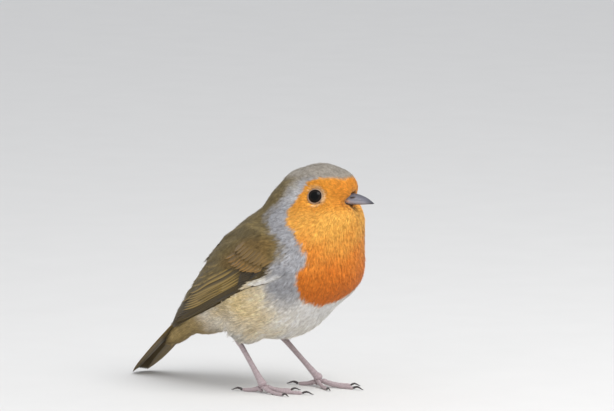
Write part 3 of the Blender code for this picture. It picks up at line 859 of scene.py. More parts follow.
def lay_tufts(roots, normals, trees, feathers, chance):
    """Where each tuft lies: points at its root, middle and tip, the way up at the tip, its width, and
    the numbers of the tufts that lie well."""
    settings = bpy.context.scene.robin_coat
    body, whole_bird, wings = trees
    sizes, lie, on_wing = feathers
    count = len(roots)
    x, _, z = roots.T
    length, width, depth = (sizes[:, :3] * chance.uniform(0.82, 1.18, (count, 3))).T
    length = length * settings.length
    way = lie + chance.normal(0, 0.11 * settings.ruffle, (count, 3))
    way = unit(way - (way * normals).sum(1, keepdims=True) * normals)
    covered = cast(wings, roots + normals * 0.4, normals, 14.0)[2]
    below = (x < FLANK[0]) & (z < FLANK[1]) & ~on_wing
    under_wing = covered & (z < FLANK[1] + 1) | below
    line = [roots - normals * (depth * 0.9)[:, None]]
    flying = np.zeros(count, bool)
    rise = np.stack([-depth * 0.32, chance.normal(0.0, 0.16 * settings.ruffle, count)])
    for share, lift in zip((0.5, 1.0), rise):
        goal = roots + way * (length * share)[:, None]
        start = goal + normals * OVER
        onto_skin, onto_any = (cast(tree, start, -normals, 2.2 * OVER) for tree in (body, whole_bird))
        chosen = np.where(under_wing[:, None], onto_skin[0], onto_any[0])
        up = np.where(under_wing[:, None], onto_skin[1], onto_any[1])
        met = np.where(under_wing, onto_skin[2], onto_any[2])
        up = np.where((up * normals).sum(1, keepdims=True) > 0.2, up, normals)
        chosen = np.where(met[:, None], chosen, goal - normals * (length * share * 0.25)[:, None])
        flying |= ~met & (x < BACK[0]) & (z > BACK[1])
        far, out = eye_place(straightened(chosen))[:2]
        chosen += turned(out * np.maximum(LID_REACH + 0.1 - far, 0)[:, None], chosen[:, 2])
        chosen += up * lift[:, None]
        chosen[below] = tucked(wings, chosen[below], TUCK)
        line.append(chosen)
    buried = below & cast(wings, roots + normals * 0.1, -normals, 4.0)[2]
    hidden = cast(wings, roots + normals * 2.4, normals, 12.0)[2] | covered & below
    hidden &= cast(wings, line[1] + normals * 0.4, normals, 14.0)[2]
    step = line[2] - roots
    reach = np.linalg.norm(step, axis=1)
    steep = (lie * normals).sum(1) > np.where(x < TAIL_START, STEEPEST[1], STEEPEST[0])
    bent = (step * way).sum(1) < reach * 0.75
    stray = (bent | steep) & (eye_place(straightened(roots))[0] > 6) | (reach > length * 1.3 + 0.6)
    front, back, tail, legs = STAND_OFF
    allowed = np.where(z > 26, np.where(x > -5, front, back), legs)
    loose = (gaps(whole_bird, line[2]) > np.where(x > TAIL_START, allowed, tail)) & ~under_wing
    return line, up, width, np.flatnonzero(~(hidden | stray | buried | flying | loose))


def coat_piece(name, slot, roots, normals, uvs, trees, feathers, chance):
    """One piece of the coat: a tuft at each root, laid along the surface."""
    colours = bpy.context.scene.robin_plumage
    line, up, width, keep = lay_tufts(roots, normals, trees, feathers, chance)
    root, middle, tip = (points[keep][:, None] for points in line)
    templates, faces = tufts(chance)
    kind = templates[chance.integers(0, len(templates), len(keep))]
    t = kind[..., 0:1]
    middle_up = unit(normals[keep] + up[keep])[:, None]
    sideways = unit(np.cross(middle_up, tip - root))
    wide = width[keep][:, None, None]
    places = root * (1 - t) * (1 - 2 * t) + middle * 4 * t * (1 - t) + tip * t * (2 * t - 1)
    places += (sideways * kind[..., 1:2] + middle_up * kind[..., 2:3]) * wide
    base = plumage((middle + tip)[:, 0] / 2, colours)
    base = wing_tint(middle[:, 0], base)[:, None]
    shade = chance.normal(1.0, 0.06, (len(keep), 1, 1)) * (0.90 + 0.14 * t)
    barb_shade = chance.normal(1.0, 0.17, (len(keep), BARBS))
    shade = shade * np.take_along_axis(barb_shade, kind[..., 3].astype(int), 1)[..., None]
    bare = 0.6 * (1 - np.clip(t * 5, 0, 1))
    dark = base * 0.35 + np.array(colours.down) * 0.65
    rgb = base * np.clip(shade, 0.5, 1.35) * (1 - bare) + dark * bare
    firsts = kind.shape[1] * np.arange(len(keep))[:, None, None]
    mesh = mesh_of(name, places.reshape(-1, 3), (faces[None] + firsts).reshape(-1, 3))
    paint(mesh, rgb.reshape(-1, 3))
    home = uvs[keep]
    home = (home - home.min(0)) / np.maximum(np.ptp(home, axis=0), 1e-6) * 0.99 + PATCH
    patch = np.stack([kind[..., 1] + 0.5, kind[..., 0]], -1) * PATCH
    map_corners(mesh, "OFBake", (home[:, None] + patch).reshape(-1, 2))
    return piece(name, mesh, "plumage", slot)


COATS = {  # pieces of the coat, their slots and their tracts
    "coat_face": ("orange_face", ("lores", "forehead", "round_eye", "chin")),
    "coat_cheeks": ("orange_face", ("cheek",)),
    "coat_crown": ("grey_brown", ("crown",)),
    "coat_throat": ("orange_breast", ("throat",)),
    "coat_neck": ("grey_brown", ("nape", "neck_side")),
    "coat_breast": ("orange_breast", ("breast",)),
    "coat_breast_sides": ("orange_breast", ("breast_side",)),
    "coat_belly": ("pale_belly", ("belly",)),
    "coat_flanks": ("pale_belly", ("flank",)),
    "coat_back": ("olive_back", ("mantle", "scapulars", "lesser_coverts")),
    "coat_rump": ("olive_back", ("rump",)),
    "coat_rear": ("pale_belly", ("vent", "under_tail")),
    "coat_thighs": ("pale_belly", ("thigh",)),
}
MOST_TUFTS = 4800  # in one piece; a larger one is made as a left and a right piece
PATCH = 0.003  # size of a tuft's place on the OFBake map


BARE_RIM = 0.48  # no feather grows closer than this to the bill and the legs


def bare_tree():
    """The parts that no feather grows from."""
    nodes = ("bill_upper", "bill_lower", "tarsus_left", "tarsus_right")
    return tree_of(*(shape_of(merged(node)) for node in nodes))


def make_skin():
    """The skin, inside the flesh by the coat's depth."""
    places, normals, faces, uvs = body_shape()
    sizes = tract_values(straightened(places))[0]
    depth = sizes[:, 2] * bpy.context.scene.robin_coat.depth + 0.15
    mesh = mesh_of("skin", places - normals * depth[:, None], faces)
    paint(mesh, plumage(places, bpy.context.scene.robin_plumage) * 0.8)
    layer = mesh.uv_layers.new(name="OFBake")
    layer.uv.foreach_set("vector", uvs.astype(np.float32).ravel())
    return piece("skin", mesh, "plumage", "pale_belly", *FLESH)


def make_coat():
    """The coat, in pieces by tract and by side where a piece would grow too large."""
    settings = bpy.context.scene.robin_coat
    chance = np.random.default_rng(settings.seed)
    shapes = [body_shape()] + [wing_shape(side) for side in SIDES]
    trees = (tree_of(shapes[0]), tree_of(*shapes), tree_of(*shapes[1:]))
    full = settings.density * 1.0
    found = []
    for on_wing, shape in enumerate(shapes):
        middles = shape[0][shape[2]].mean(1)
        sizes = tract_values(middles if on_wing else straightened(middles))[0]
        roots, normals, uvs = roots_on(shape, sizes[:, 3] * full, chance)
        soft = soft_wing(roots, normals) if on_wing else np.ones(len(roots), bool)
        found.append((roots[soft], normals[soft], uvs[soft], np.full(soft.sum(), bool(on_wing))))
    roots, normals, uvs, on_wing = (np.concatenate(arrays) for arrays in zip(*found))
    straight = straightened(roots)
    growing = ~inside(bare_tree(), roots, BARE_RIM) & (eye_place(straight)[0] > LID_REACH)
    roots, normals, uvs, straight, on_wing = (
        array[growing] for array in (roots, normals, uvs, straight, on_wing)
    )
    sizes, lie = tract_values(straight)
    lie = turned(lie, roots[:, 2])
    tract = np.argmin(tract_distances(straight), axis=0)
    names = list(TRACTS)
    made = []
    for name, (slot, tracts) in COATS.items():
        mine = np.flatnonzero(np.isin(tract, [names.index(one) for one in tracts]))
        pieces = {"": mine}
        if len(mine) > MOST_TUFTS:
            left = roots[mine, 1] > 0
            pieces = {"_left": mine[left], "_right": mine[~left]}
        for ending, some in pieces.items():
            feathers = (sizes[some], lie[some], on_wing[some])
            made.append(coat_piece(
                name + ending, slot, roots[some], normals[some], uvs[some], trees, feathers, chance
            ))
    return made


def soft_wing(places, normals):
    """Whether places on a wing lie where soft feathers cover it: its shoulder, and the front of its
    lower edge."""
    x, y, z = places.T
    shoulder = z > np.where(x > -3, 58.1 - 0.29 * x, 60.5 + 0.45 * x) - 3.6
    outward = normals[:, 1] * np.sign(y) * 0.9 + normals[:, 2] * 0.43
    lip = (outward < 0.5) & (normals[:, 2] < 0) & (x > -9) & (z < 52)
    lip |= (z < 44.4 + 0.42 * (x - 1)) & (x > 2)
    return shoulder & (z < SHOULDER + 1) & (outward > 0.5) & (normals[:, 0] > -0.6) | lip


def wing_tint(places, tone):
    """Feathers over the wing's shoulder take the wing's brown."""
    colours = bpy.context.scene.robin_wing
    x, y, z = places.T
    share = ease(15, 10, x + uneven(places, 4.0)) * ease(18, 22, np.abs(y))
    return blend(tone, colours.coverts, share * ease(66, 61, z) * ease(48, 52, z) * 0.8)


# Firm feathers: the folded wings and the tail. Places are for the left wing; the right one mirrors them.

WING_FEATHERS = {  # first and last root; tips; width, height over the wing, web and edge colours
    "primaries": (
        ((2.5, 25.6, 43.0), (1.5, 26.0, 46.5)),
        ((-42.0, 11.6, 26.0), (-49.0, 9.8, 23.2), (-53.8, 9.0, 21.8), (-54.2, 9.0, 22.4),
         (-52.9, 9.0, 23.6), (-51.0, 9.0, 25.0), (-49.0, 9.2, 26.6), (-47.0, 9.5, 28.0)),
        4.6, -0.55, "alula", "quill",
    ),
    "secondaries": (
        ((1.0, 26.0, 46.5), (-2.0, 25.8, 51.0)),
        ((-46.0, 10.5, 28.6), (-45.4, 10.6, 29.8), (-44.8, 10.8, 31.0), (-44.0, 11.0, 32.2),
         (-43.0, 11.2, 33.4), (-42.0, 11.5, 34.6)),
        5.2, -0.4, "quill", "edge",
    ),
    "inner": (
        ((-9.0, 22.0, 54.0), (-14.0, 13.0, 62.0)),
        ((-50.5, 6.8, 31.5), (-48.5, 6.0, 35.5), (-45.0, 5.8, 40.0), (-41.0, 6.2, 44.0), (-36.0, 7.2, 48.5)),
        6.6, -0.65, "quill", "edge",
    ),
    "tertials": (
        ((-7.0, 24.4, 51.0), (-11.0, 21.5, 56.5)),
        ((-42.0, 11.0, 36.0), (-40.0, 10.5, 38.8), (-36.0, 10.5, 42.2), (-30.0, 11.0, 47.0)),
        6.6, -0.2, "quill", "edge",
    ),
    "primary_coverts": (
        ((7.5, 25.6, 45.2), (6.5, 26.6, 50.6)),
        ((-4.6, 24.9, 41.9), (-4.8, 25.1, 42.7), (-4.9, 25.2, 43.5), (-4.8, 25.4, 44.3), (-4.6, 25.5, 45.2),
         (-4.2, 25.6, 46.0), (-3.6, 25.7, 47.0), (-2.8, 25.8, 48.0)),
        3.1, -0.6, "alula", "alula",
    ),
    "alula": (
        ((16.5, 23.4, 50.2), (15.5, 24.2, 52.4)),
        ((1.6, 25.9, 44.6), (2.6, 26.2, 45.5), (3.8, 26.5, 46.4), (5.2, 26.6, 47.3), (6.6, 26.6, 48.3),
         (8.2, 26.6, 49.4)),
        3.1, 0.0, "alula", "quill",
    ),
    "greater_coverts": (
        ((13.0, 24.4, 53.6), (-5.0, 22.5, 60.0)),
        ((5.2, 26.6, 48.8), (3.0, 26.7, 48.8), (0.8, 26.6, 48.9), (-1.4, 26.4, 49.1), (-3.6, 26.0, 49.4),
         (-5.8, 25.5, 49.9), (-8.2, 25.0, 50.5), (-10.6, 24.2, 51.2), (-13.0, 23.0, 52.1),
         (-15.4, 21.5, 53.2)),
        4.2, 0.0, "coverts", "rust",
    ),
    "median_coverts": (
        ((14.5, 23.5, 56.0), (-4.0, 20.5, 63.0)),
        ((9.0, 25.2, 51.8), (6.6, 25.7, 52.0), (4.2, 25.8, 52.3), (1.8, 25.8, 52.8), (-0.6, 25.5, 53.4),
         (-3.0, 25.0, 54.1), (-5.4, 24.2, 54.9), (-7.8, 23.3, 55.8), (-10.2, 22.0, 56.8)),
        3.8, 0.2, "coverts", "coverts",
    ),
}
VANE_ACROSS = 6
VANE_ALONG = 18
VANE_THICKNESS = 0.13
SHAFT = 0.34  # how far across a feather its shaft lies


def vane_half_width(share, pointed):
    """Width of a feather along its length, as a share of its widest."""
    rise = 0.35 + 0.65 * ease(0.0, 0.3, share)
    turn = 0.55 if pointed else 0.68
    fall = np.clip(1 - (np.clip(share - turn, 0, 1) / (1.0 - turn)) ** 2.2, 0.02, 1) ** 0.75
    return rise * fall


def add_vane(work, place, tone, edge, inner=0.5):
    """Adds one thin closed feather. place gives the points for arrays of shares across and along;
    inner is how much darker the inner web is, partly its own darker brown and partly painted shade
    where the feather beside overlaps it."""
    grid = bmesh.new()
    bmesh.ops.create_grid(grid, x_segments=VANE_ACROSS, y_segments=VANE_ALONG, size=0.5)
    flat = np.array([vert.co for vert in grid.verts])
    across = flat[:, 0] + 0.5
    along = 1 - (0.5 - flat[:, 1]) ** 1.4
    order = np.lexsort((across.round(4), along.round(4)))
    points = np.empty_like(flat)
    shape = (VANE_ALONG + 1, VANE_ACROSS + 1)
    laid = place(across[order].reshape(shape), along[order].reshape(shape))
    points[order] = laid.reshape(-1, 3)
    vane = grid.loops.layers.uv.new("Vane")
    tone_layer = grid.verts.layers.float_color.new("Plumage")
    edge_layer = grid.verts.layers.float_color.new("Edge")
    # The inner web is darker: partly its own colour, partly painted shade of the overlapping feather.
    tones = np.array(tone) * (1 - inner * ease(0.4, 0.9, across))[:, None]
    for i, vert in enumerate(grid.verts):
        vert.co = in_frame(points[i])
        vert[tone_layer] = (*tones[i], 1)
        vert[edge_layer] = (*edge, 1)
    grid.verts.index_update()
    for face in grid.faces:
        for loop in face.loops:
            loop[vane].uv = (across[loop.vert.index], along[loop.vert.index])
    everything = grid.faces[:] + grid.edges[:] + grid.verts[:]
    bmesh.ops.solidify(grid, geom=everything, thickness=VANE_THICKNESS * MM)
    bmesh.ops.recalc_face_normals(grid, faces=grid.faces)
    join(work, grid)


def smooth_rows(points, rounds=3):
    """Draws rows of points towards the rows beside them, but not the first and the last."""
    for _ in range(rounds):
        points = points.copy()
        points[1:-1] = points[1:-1] * 0.5 + (points[:-2] + points[2:]) * 0.25
    return points


def wing_vane(tree, side, root, tip, width, height, tilt, bend, pointed):
    """How one feather of the folded wing lies: a function for add_vane."""
    root, tip = (np.array(point) * (1, SIDES[side], 1) for point in (root, tip))
    outward = np.array((0, SIDES[side] * 0.93, 0.37))
    sideways = unit(np.cross(outward, tip - root)) * SIDES[side]

    def place(across, along):
        """Lays the feather's points over the wing, tilted to overlap the feather beside it."""
        arch = np.sin(along * np.pi)
        centre = root + (tip - root) * along[..., None] + outward * (3 * arch + 2)[..., None]
        shift = (across - SHAFT) * vane_half_width(along, pointed) * width + bend * arch
        goal = centre + sideways * shift[..., None]
        laid = np.empty_like(goal)
        normals = np.empty_like(goal)
        for i in np.ndindex(goal.shape[:2]):
            laid[i], normals[i] = tree.find_nearest(goal[i])[:2]
        normals = unit(smooth_rows(normals, 6))
        laid = smooth_rows(laid)
        lift = height + tilt * (0.5 - across) + 0.5 * (along - 0.7) - 0.7 * (1 - along) ** 5
        hollow = 0.25 * np.abs(across - SHAFT) ** 1.5 * width * 0.3
        return laid + normals * (lift - hollow)[..., None]

    return place


CORE_DEPTH = 1.5  # how far inside the folded wing its core lies
WING_TOP = (54.0, 58.0)  # heights over which the core comes out to the shoulder


def make_wings():
    """The folded wings' flight feathers and coverts, over a core."""
    colours = bpy.context.scene.robin_wing
    chance = np.random.default_rng(bpy.context.scene.robin_coat.seed + 1)
    made = []
    for side in SIDES:
        tree = tree_of(wing_shape(side))
        work = bmesh.new()
        for name, (roots, tips, width, height, web, edge) in WING_FEATHERS.items():
            first, last = np.array(roots)
            tilt, bend = (0.6, -1.2) if name in ("primaries", "secondaries") else (0.34, -0.3)
            # How much darker the inner web is; for the flight feathers much of it is painted shade of the
            # overlap.
            inner = 0.15 if name in ("greater_coverts", "median_coverts") else 0.5
            for i, tip in enumerate(tips):
                root = first + (last - first) * i / (len(tips) - 1)
                tone = np.array(getattr(colours, web)) * chance.uniform(0.9, 1.12)
                rim = np.array(getattr(colours, edge)) * chance.uniform(0.9, 1.1)
                place = wing_vane(tree, side, root, tip, width, height, tilt, bend, name == "primaries")
                add_vane(work, place, tone, rim, inner)
        mesh = finished(work, f"wing_feathers_{side}")
        unwrap(mesh)
        made.append(piece(f"wing_feathers_{side}", mesh, "vane", "wing_brown"))
        core = bmesh.new()
        nodes = (f"wing_{side}", f"flight_feathers_{side}")
        for node in nodes:
            part = merged(node)
            middle = sum((vert.co for vert in part.verts), Vector()) / len(part.verts)
            for vert in part.verts:
                high = ease(*WING_TOP, vert.co.z / MM)
                inwards = Vector((0, SIDES[side] * 0.9, 0.45)) * (CORE_DEPTH - high) * MM
                vert.co = middle + (vert.co - middle) * (0.97 + 0.02 * high) - inwards
            join(core, part)
        mesh = finished(core, f"wing_core_{side}")
        high = ease(*WING_TOP, places_of(mesh)[:, 2])
        paint(mesh, blend(np.array(colours.quill) * 0.8, np.array(colours.coverts) * 0.7, high))
        made.append(piece(f"wing_core_{side}", mesh, "plumage", "wing_brown", *nodes))
    return made


TAIL_ROOT = (-38.0, 0.0, 38.0)
TAIL_TIP = (-78.4, 0.0, 1.2)
TAIL_PAIRS = 6


def make_tail():
    """Twelve tail feathers, the middle pair on top."""
    colours = bpy.context.scene.robin_wing
    root, tip = np.array(TAIL_ROOT), np.array(TAIL_TIP)
    up = unit(np.array((tip[2] - root[2], 0, root[0] - tip[0])))
    work = bmesh.new()
    for pair in range(TAIL_PAIRS):
        for side in (-1, 1):

            def place(across, along):
                """Fans the feather out beside the tail's middle line, each pair below the one before."""
                width = vane_half_width(along, False) * (5.0 + 1.9 * along)
                out = (0.62 - across) * width + (0.3 + 0.72 * pair) * (0.75 + 0.35 * along)
                out = out + 0.4 * (1 - along)
                short = np.where(along > 0.9, 0.0014 * pair, 0)
                line = root + (tip - root) * (along - short)[..., None]
                rise = 0.45 - 0.30 * pair * (1.25 - 0.5 * along) - 0.012 * out ** 2 - 0.1 * (side < 0)
                rise = rise + 0.525 * np.sin(along * np.pi)
                laid = line + up * rise[..., None]
                laid[..., 1] += side * out
                return laid

            tone = np.array(colours.tail) * (1.0 + 0.05 * side * (pair % 2))
            add_vane(work, place, tone, np.array(colours.edge) * 0.55)
    mesh = finished(work, "tail_feathers")
    unwrap(mesh)
    return [piece("tail_feathers", mesh, "vane", "tail_brown", "tail")]


# Bill, eyes, legs, toes and claws

BILL_BASE = (11.4, 0.0, -1.65)
BILL_PITCH = -3.2
BILL_LENGTH = 10.4
UPPER_BILL = (  # share of the length, half width, height over the cutting edge
    (-0.3, 2.75, 3.1), (0.0, 2.5, 3.1), (0.2, 2.0, 3.0), (0.38, 1.55, 2.75), (0.62, 1.05, 2.1),
    (0.8, 0.64, 1.25), (0.9, 0.38, 0.72), (0.97, 0.2, 0.36), (1.0, 0.08, 0.14),
)
LOWER_BILL = (
    (-0.3, 2.65, 1.6), (0.0, 2.4, 1.5), (0.2, 1.85, 1.38), (0.38, 1.4, 1.18), (0.62, 0.88, 0.84),
    (0.8, 0.48, 0.5), (0.9, 0.26, 0.3), (0.955, 0.08, 0.1),
)
NOSTRIL = (0.16, 1.55)  # share of the length, and height over the cutting edge
RING = 80  # points round the bill
BILL_ROWS = 96  # rings along it


def loft(rings):
    """A closed mesh through rings of points, capped at both ends."""
    work = bmesh.new()
    loops = []
    for ring in rings:
        made = bmesh.ops.create_circle(work, segments=len(ring), radius=1.0)["verts"]
        for vert, point in zip(made, ring):
            vert.co = point
        loops.append(made)
    for before, after in zip(loops, loops[1:]):
        edges = [edge for loop in (before, after) for edge in {e for v in loop for e in v.link_edges}
                 if all(vert in loop for vert in edge.verts)]
        bmesh.ops.bridge_loops(work, edges=edges)
    for loop in (loops[0], loops[-1]):
        work.faces.new(loop)
    bmesh.ops.recalc_face_normals(work, faces=work.faces)
    return work


def fine(table, count):
    """A table's rows at evenly spaced first numbers, smoothly between its knots."""
    table = np.array(table)
    firsts = np.linspace(table[0, 0], table[-1, 0], count)
    return smooth_rows(np.stack([np.interp(firsts, table[:, 0], column) for column in table.T], 1))


def bill_rings(table, sign):
    """Rings of points along the upper half of the bill, or along the lower one where sign is -1."""
    seat = head_frame()
    pitch = math.radians(BILL_PITCH)
    angles = np.arange(RING) * 2 * np.pi / RING
    round_it = np.abs(np.sin(angles))
    rings = []
    for share, half, height in fine(table, BILL_ROWS):
        x = share * BILL_LENGTH
        y = half * np.cos(angles) + BILL_BASE[1]
        z = np.where(np.sin(angles) > 0, round_it ** 0.85 * height, -0.06 * round_it * half)
        z = (z + 0.03) * sign - 2.8 * max(share - 0.72, 0) ** 2 - 0.9 * max(0.16 - share, 0)
        along = BILL_BASE[0] + x * math.cos(pitch) - z * math.sin(pitch)
        up = BILL_BASE[2] + x * math.sin(pitch) + z * math.cos(pitch)
        rings.append([seat @ Vector(point) for point in np.stack([along, y, up], 1)])
    return rings


def make_bill():
    """Both halves of the bill: a pale cutting edge, partly a painted highlight, a further painted highlight
    along each side, and nostrils painted dark as painted shade.
    """
    colours = bpy.context.scene.robin_bare
    gape = np.array(colours.gape)
    made = []
    for name, table, sign in (("bill_upper", UPPER_BILL, 1), ("bill_lower", LOWER_BILL, -1)):
        mesh = finished(loft(bill_rings(table, sign)), f"{name}_horn")
        x, _, z = (seen_from(head_frame(), mesh) - np.array(BILL_BASE)).T
        share = x / BILL_LENGTH
        over = np.abs(z - x * math.sin(math.radians(BILL_PITCH)))
        rim = over / np.interp(share, *np.array(table)[:, (0, 2)].T)
        # Paler along the cutting edges: partly the paler edge of the horn, partly a painted highlight along
        # the bill's lower side.
        edge = ease(0.75, 0.1, over) * ease(1.0, 0.5, share) * 0.8
        tone = blend(np.array(colours.bill), colours.bill_edge_and_highlight, edge)
        tone = blend(tone, gape, ease(0.12, -0.05, share) * ease(0.9, 0.2, over))
        tone = tone * (1 - 0.3 * ease(0.70, 0.97, rim))[:, None]
        # A painted highlight: paler colour along the middle of each half's side, where the light falls on
        # the bill.
        painted_side_highlight = np.exp(-((rim - 0.42) / 0.22) ** 2) * ease(0.85, 0.4, share) * 0.35
        tone = blend(tone, colours.bill_edge_and_highlight, painted_side_highlight)
        if sign > 0:
            # The nostril is not cut: its opening is painted near black, as painted shade.
            ahead = share - NOSTRIL[0]
            nostril = np.hypot(ahead / 0.12, (over - NOSTRIL[1] - 2.0 * ahead) / 0.46)
            tone = blend(tone, gape * 0.05, ease(1.25, 0.55, nostril))
        paint(mesh, tone * (1 - 0.6 * ease(0.6, 1.0, share))[:, None])
        made.append(piece(f"{name}_horn", mesh, "horn", "bill_grey", name))
    return made


LID_RINGS = (  # radius, and height over the eyeball, from the opening outwards
    (2.58, -0.25), (2.62, 0.1), (2.7, 0.26), (2.86, 0.3), (3.05, 0.16), (3.4, -0.5),
)
PUPIL = (0.003, 0.003, 0.003)


def make_eyes():
    """Eyeballs and the rims of their lids."""
    colours = bpy.context.scene.robin_bare
    made = []
    for side, sign in SIDES.items():
        axis = Vector((EYE_AXIS[0], sign * EYE_AXIS[1], EYE_AXIS[2])).normalized()
        axis = Matrix.Rotation(HEAD_TURN, 3, "Z") @ axis
        seat = Matrix.Translation(EYES[side]) @ axis.to_track_quat("Z", "Y").to_matrix().to_4x4()
        ball = bmesh.new()
        bmesh.ops.create_uvsphere(ball, u_segments=64, v_segments=40, radius=EYEBALL * 0.985 * MM)
        facing = np.array([vert.co.normalized().z for vert in ball.verts])
        ball.transform(seat)
        mesh = finished(ball, f"eyeball_{side}")
        iris = ease(0.66, 0.74, facing) * ease(0.89, 0.86, facing)
        paint(mesh, np.array(PUPIL) + np.array(colours.iris) * iris[:, None])
        made.append(piece(f"eyeball_{side}", mesh, "eye", "eye_black", f"eye_{side}"))
        angles = np.arange(48) * 2 * np.pi / 48
        rings = []
        for radius, height in LID_RINGS:
            oval = radius * (1 + 0.05 * np.cos(2 * (angles - 0.6)))
            rise = np.sqrt(np.maximum(EYEBALL ** 2 - np.minimum(oval, 3.3) ** 2, 0)) + height
            rings.append(np.stack([oval * np.cos(angles), oval * np.sin(angles), rise], 1))
        rings.append(np.stack([3.2 * np.cos(angles), 3.2 * np.sin(angles), np.full(48, 0.2)], 1))
        work = loft([[seat @ Vector(point * MM) for point in ring] for ring in rings])
        mesh = finished(work, f"eyelid_{side}")
        off = np.linalg.norm(seen_from(seat, mesh)[:, :2], axis=1) / MM
        paint(mesh, np.array(colours.lid) * (0.15 + 0.85 * ease(2.62, 2.78, off))[:, None])
        made.append(piece(f"eyelid_{side}", mesh, "scale", "eye_black"))
    return made


def slices(node, way, count, margin=0.015):
    """Centres and half widths of a long frame node at even places along a direction, in millimetres."""
    places, _, faces = shape_of(merged(node))
    edges = np.concatenate([faces[:, :2], faces[:, 1:], faces[:, ::2]])
    along = places @ np.array(way)
    low, high = along.min(), along.max()
    rows = []
    for share in np.linspace(margin, 1 - margin, count):
        level = low + (high - low) * share
        first, second = along[edges[:, 0]], along[edges[:, 1]]
        crossing = (first - level) * (second - level) < 0
        first, second = first[crossing], second[crossing]
        part = ((level - first) / (second - first))[:, None]
        points = places[edges[crossing, 0]] * (1 - part) + places[edges[crossing, 1]] * part
        middle = (points.min(0) + points.max(0)) / 2
        rows.append((*middle, np.linalg.norm(points - middle, axis=1).mean()))
    return np.array(rows)


def refine(rows, count, longer):
    """More rows along a line, smoothed, and longer at its two ends."""
    rows = rows.copy()
    for end, inner, extra in ((0, 2, longer[0]), (-1, -3, longer[1])):
        rows[end, :3] += unit(rows[end, :3] - rows[inner, :3]) * extra
    steps = np.linspace(0, len(rows) - 1, count)
    return smooth_rows(np.stack([np.interp(steps, np.arange(len(rows)), column) for column in rows.T], 1), 6)


LIMB_RING = 24  # points round a leg or toe
GROOVE = 0.12  # share of a plate that is the groove before it


def scaly_tube(rows, scutes, front, pads, joints, relief, swell):
    """A limb through centres and radii: plates on its front, smooth or padded behind, a rounded end."""
    centres, radii = rows[:, :3], rows[:, 3] * swell
    place = np.linspace(0, 1, len(radii))
    ends = np.minimum((1 - place) * len(radii) / 6, 1)
    radii = radii * np.sqrt(np.clip(1 - (1 - ends) ** 2, 0.04, 1))
    knuckle = np.sin(place * np.pi * joints) ** 2
    radii = radii * (1 + pads * 0.45 * (knuckle - 0.5))
    way = unit(np.gradient(centres, axis=0))
    ahead = unit(np.array(front) - way * (way @ np.array(front))[:, None])
    aside = np.cross(way, ahead)
    plate = (place * scutes) % 1.0
    ridge = relief * (0.07 * plate ** 3 - 0.10 * (plate < GROOVE))
    angles = np.arange(LIMB_RING) * 2 * np.pi / LIMB_RING
    relief_here = ridge[:, None] * np.clip(np.cos(angles) + 0.35, 0, 1)
    bulge = pads * np.clip(-np.cos(angles), 0, 1) * knuckle[:, None]
    reach = (radii[:, None] * (1 + relief_here + bulge))[..., None]
    turning = ahead[:, None] * np.cos(angles)[:, None] + aside[:, None] * np.sin(angles)[:, None]
    rings = in_frame(centres[:, None] + turning * reach)
    work = loft([[Vector(point) for point in ring] for ring in rings])
    return work, np.clip(-relief_here * 8, 0, 1).ravel()


TOES = {"middle": (14, 4), "inner": (10, 3), "outer": (12, 5), "hallux": (8, 2)}  # plates and joints


def make_legs():
    """Tarsi, toes and claws."""
    colours = bpy.context.scene.robin_bare
    made = []
    for side in SIDES:
        low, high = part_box(f"tarsus_{side}")
        foot = Vector((high.x - 0.0015, (low.y + high.y) / 2, 0))
        limbs = [
            (f"tarsus_{side}", (0.55, 0, -0.83), 26, (0.1, 0.1), (13, (0.83, 0, 0.55), 0.0, 1, 0.45, 1.1))
        ]
        for toe, (scutes, joints) in TOES.items():
            out = sum(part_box(f"toe_{toe}_{side}"), Vector()) / 2 - foot
            way = Vector((out.x, out.y, 0)).normalized()
            shape = (scutes, (0, 0, 1), 0.22, joints, 1.0, 1.04)
            limbs.append((f"toe_{toe}_{side}", way, 14, (1.6, 0.6), shape))
        for node, way, count, longer, relief in limbs:
            rows = refine(slices(node, way, count), relief[0] * 9, longer)
            work, shade = scaly_tube(rows, *relief)
            mesh = finished(work, f"{node}_scales")
            paint(mesh, blend(np.array(colours.leg), colours.leg_groove, shade))
            made.append(piece(f"{node}_scales", mesh, "scale", "leg_pink", node))
        for toe in TOES:
            node = f"claw_{toe}_{side}"
            work = merged(node)
            soften(work, work.verts)
            mesh = finished(work, f"{node}_horn")
            paint(mesh, np.tile(colours.claw, (len(mesh.vertices), 1)))
            made.append(piece(f"{node}_horn", mesh, "horn", "claw_dark", node))
    return made


# Stage

CAMERA_ANGLES = (40, 7)  # round the robin and above the horizon, in degrees
CAMERA_DISTANCE = 3.5
CAMERA_HALF_WIDTH = 0.12127  # half the width it sees at the robin, in metres
CAMERA_AIM = (0.007505, 0.07272)  # where it looks: to the right of the origin and above it


def way_at(azimuth, height):
    """The way out from the robin at an azimuth and a height over the horizon."""
    turn, rise = math.radians(azimuth), math.radians(height)
    return Vector((math.sin(turn) * math.cos(rise), -math.cos(turn) * math.cos(rise), math.sin(rise)))


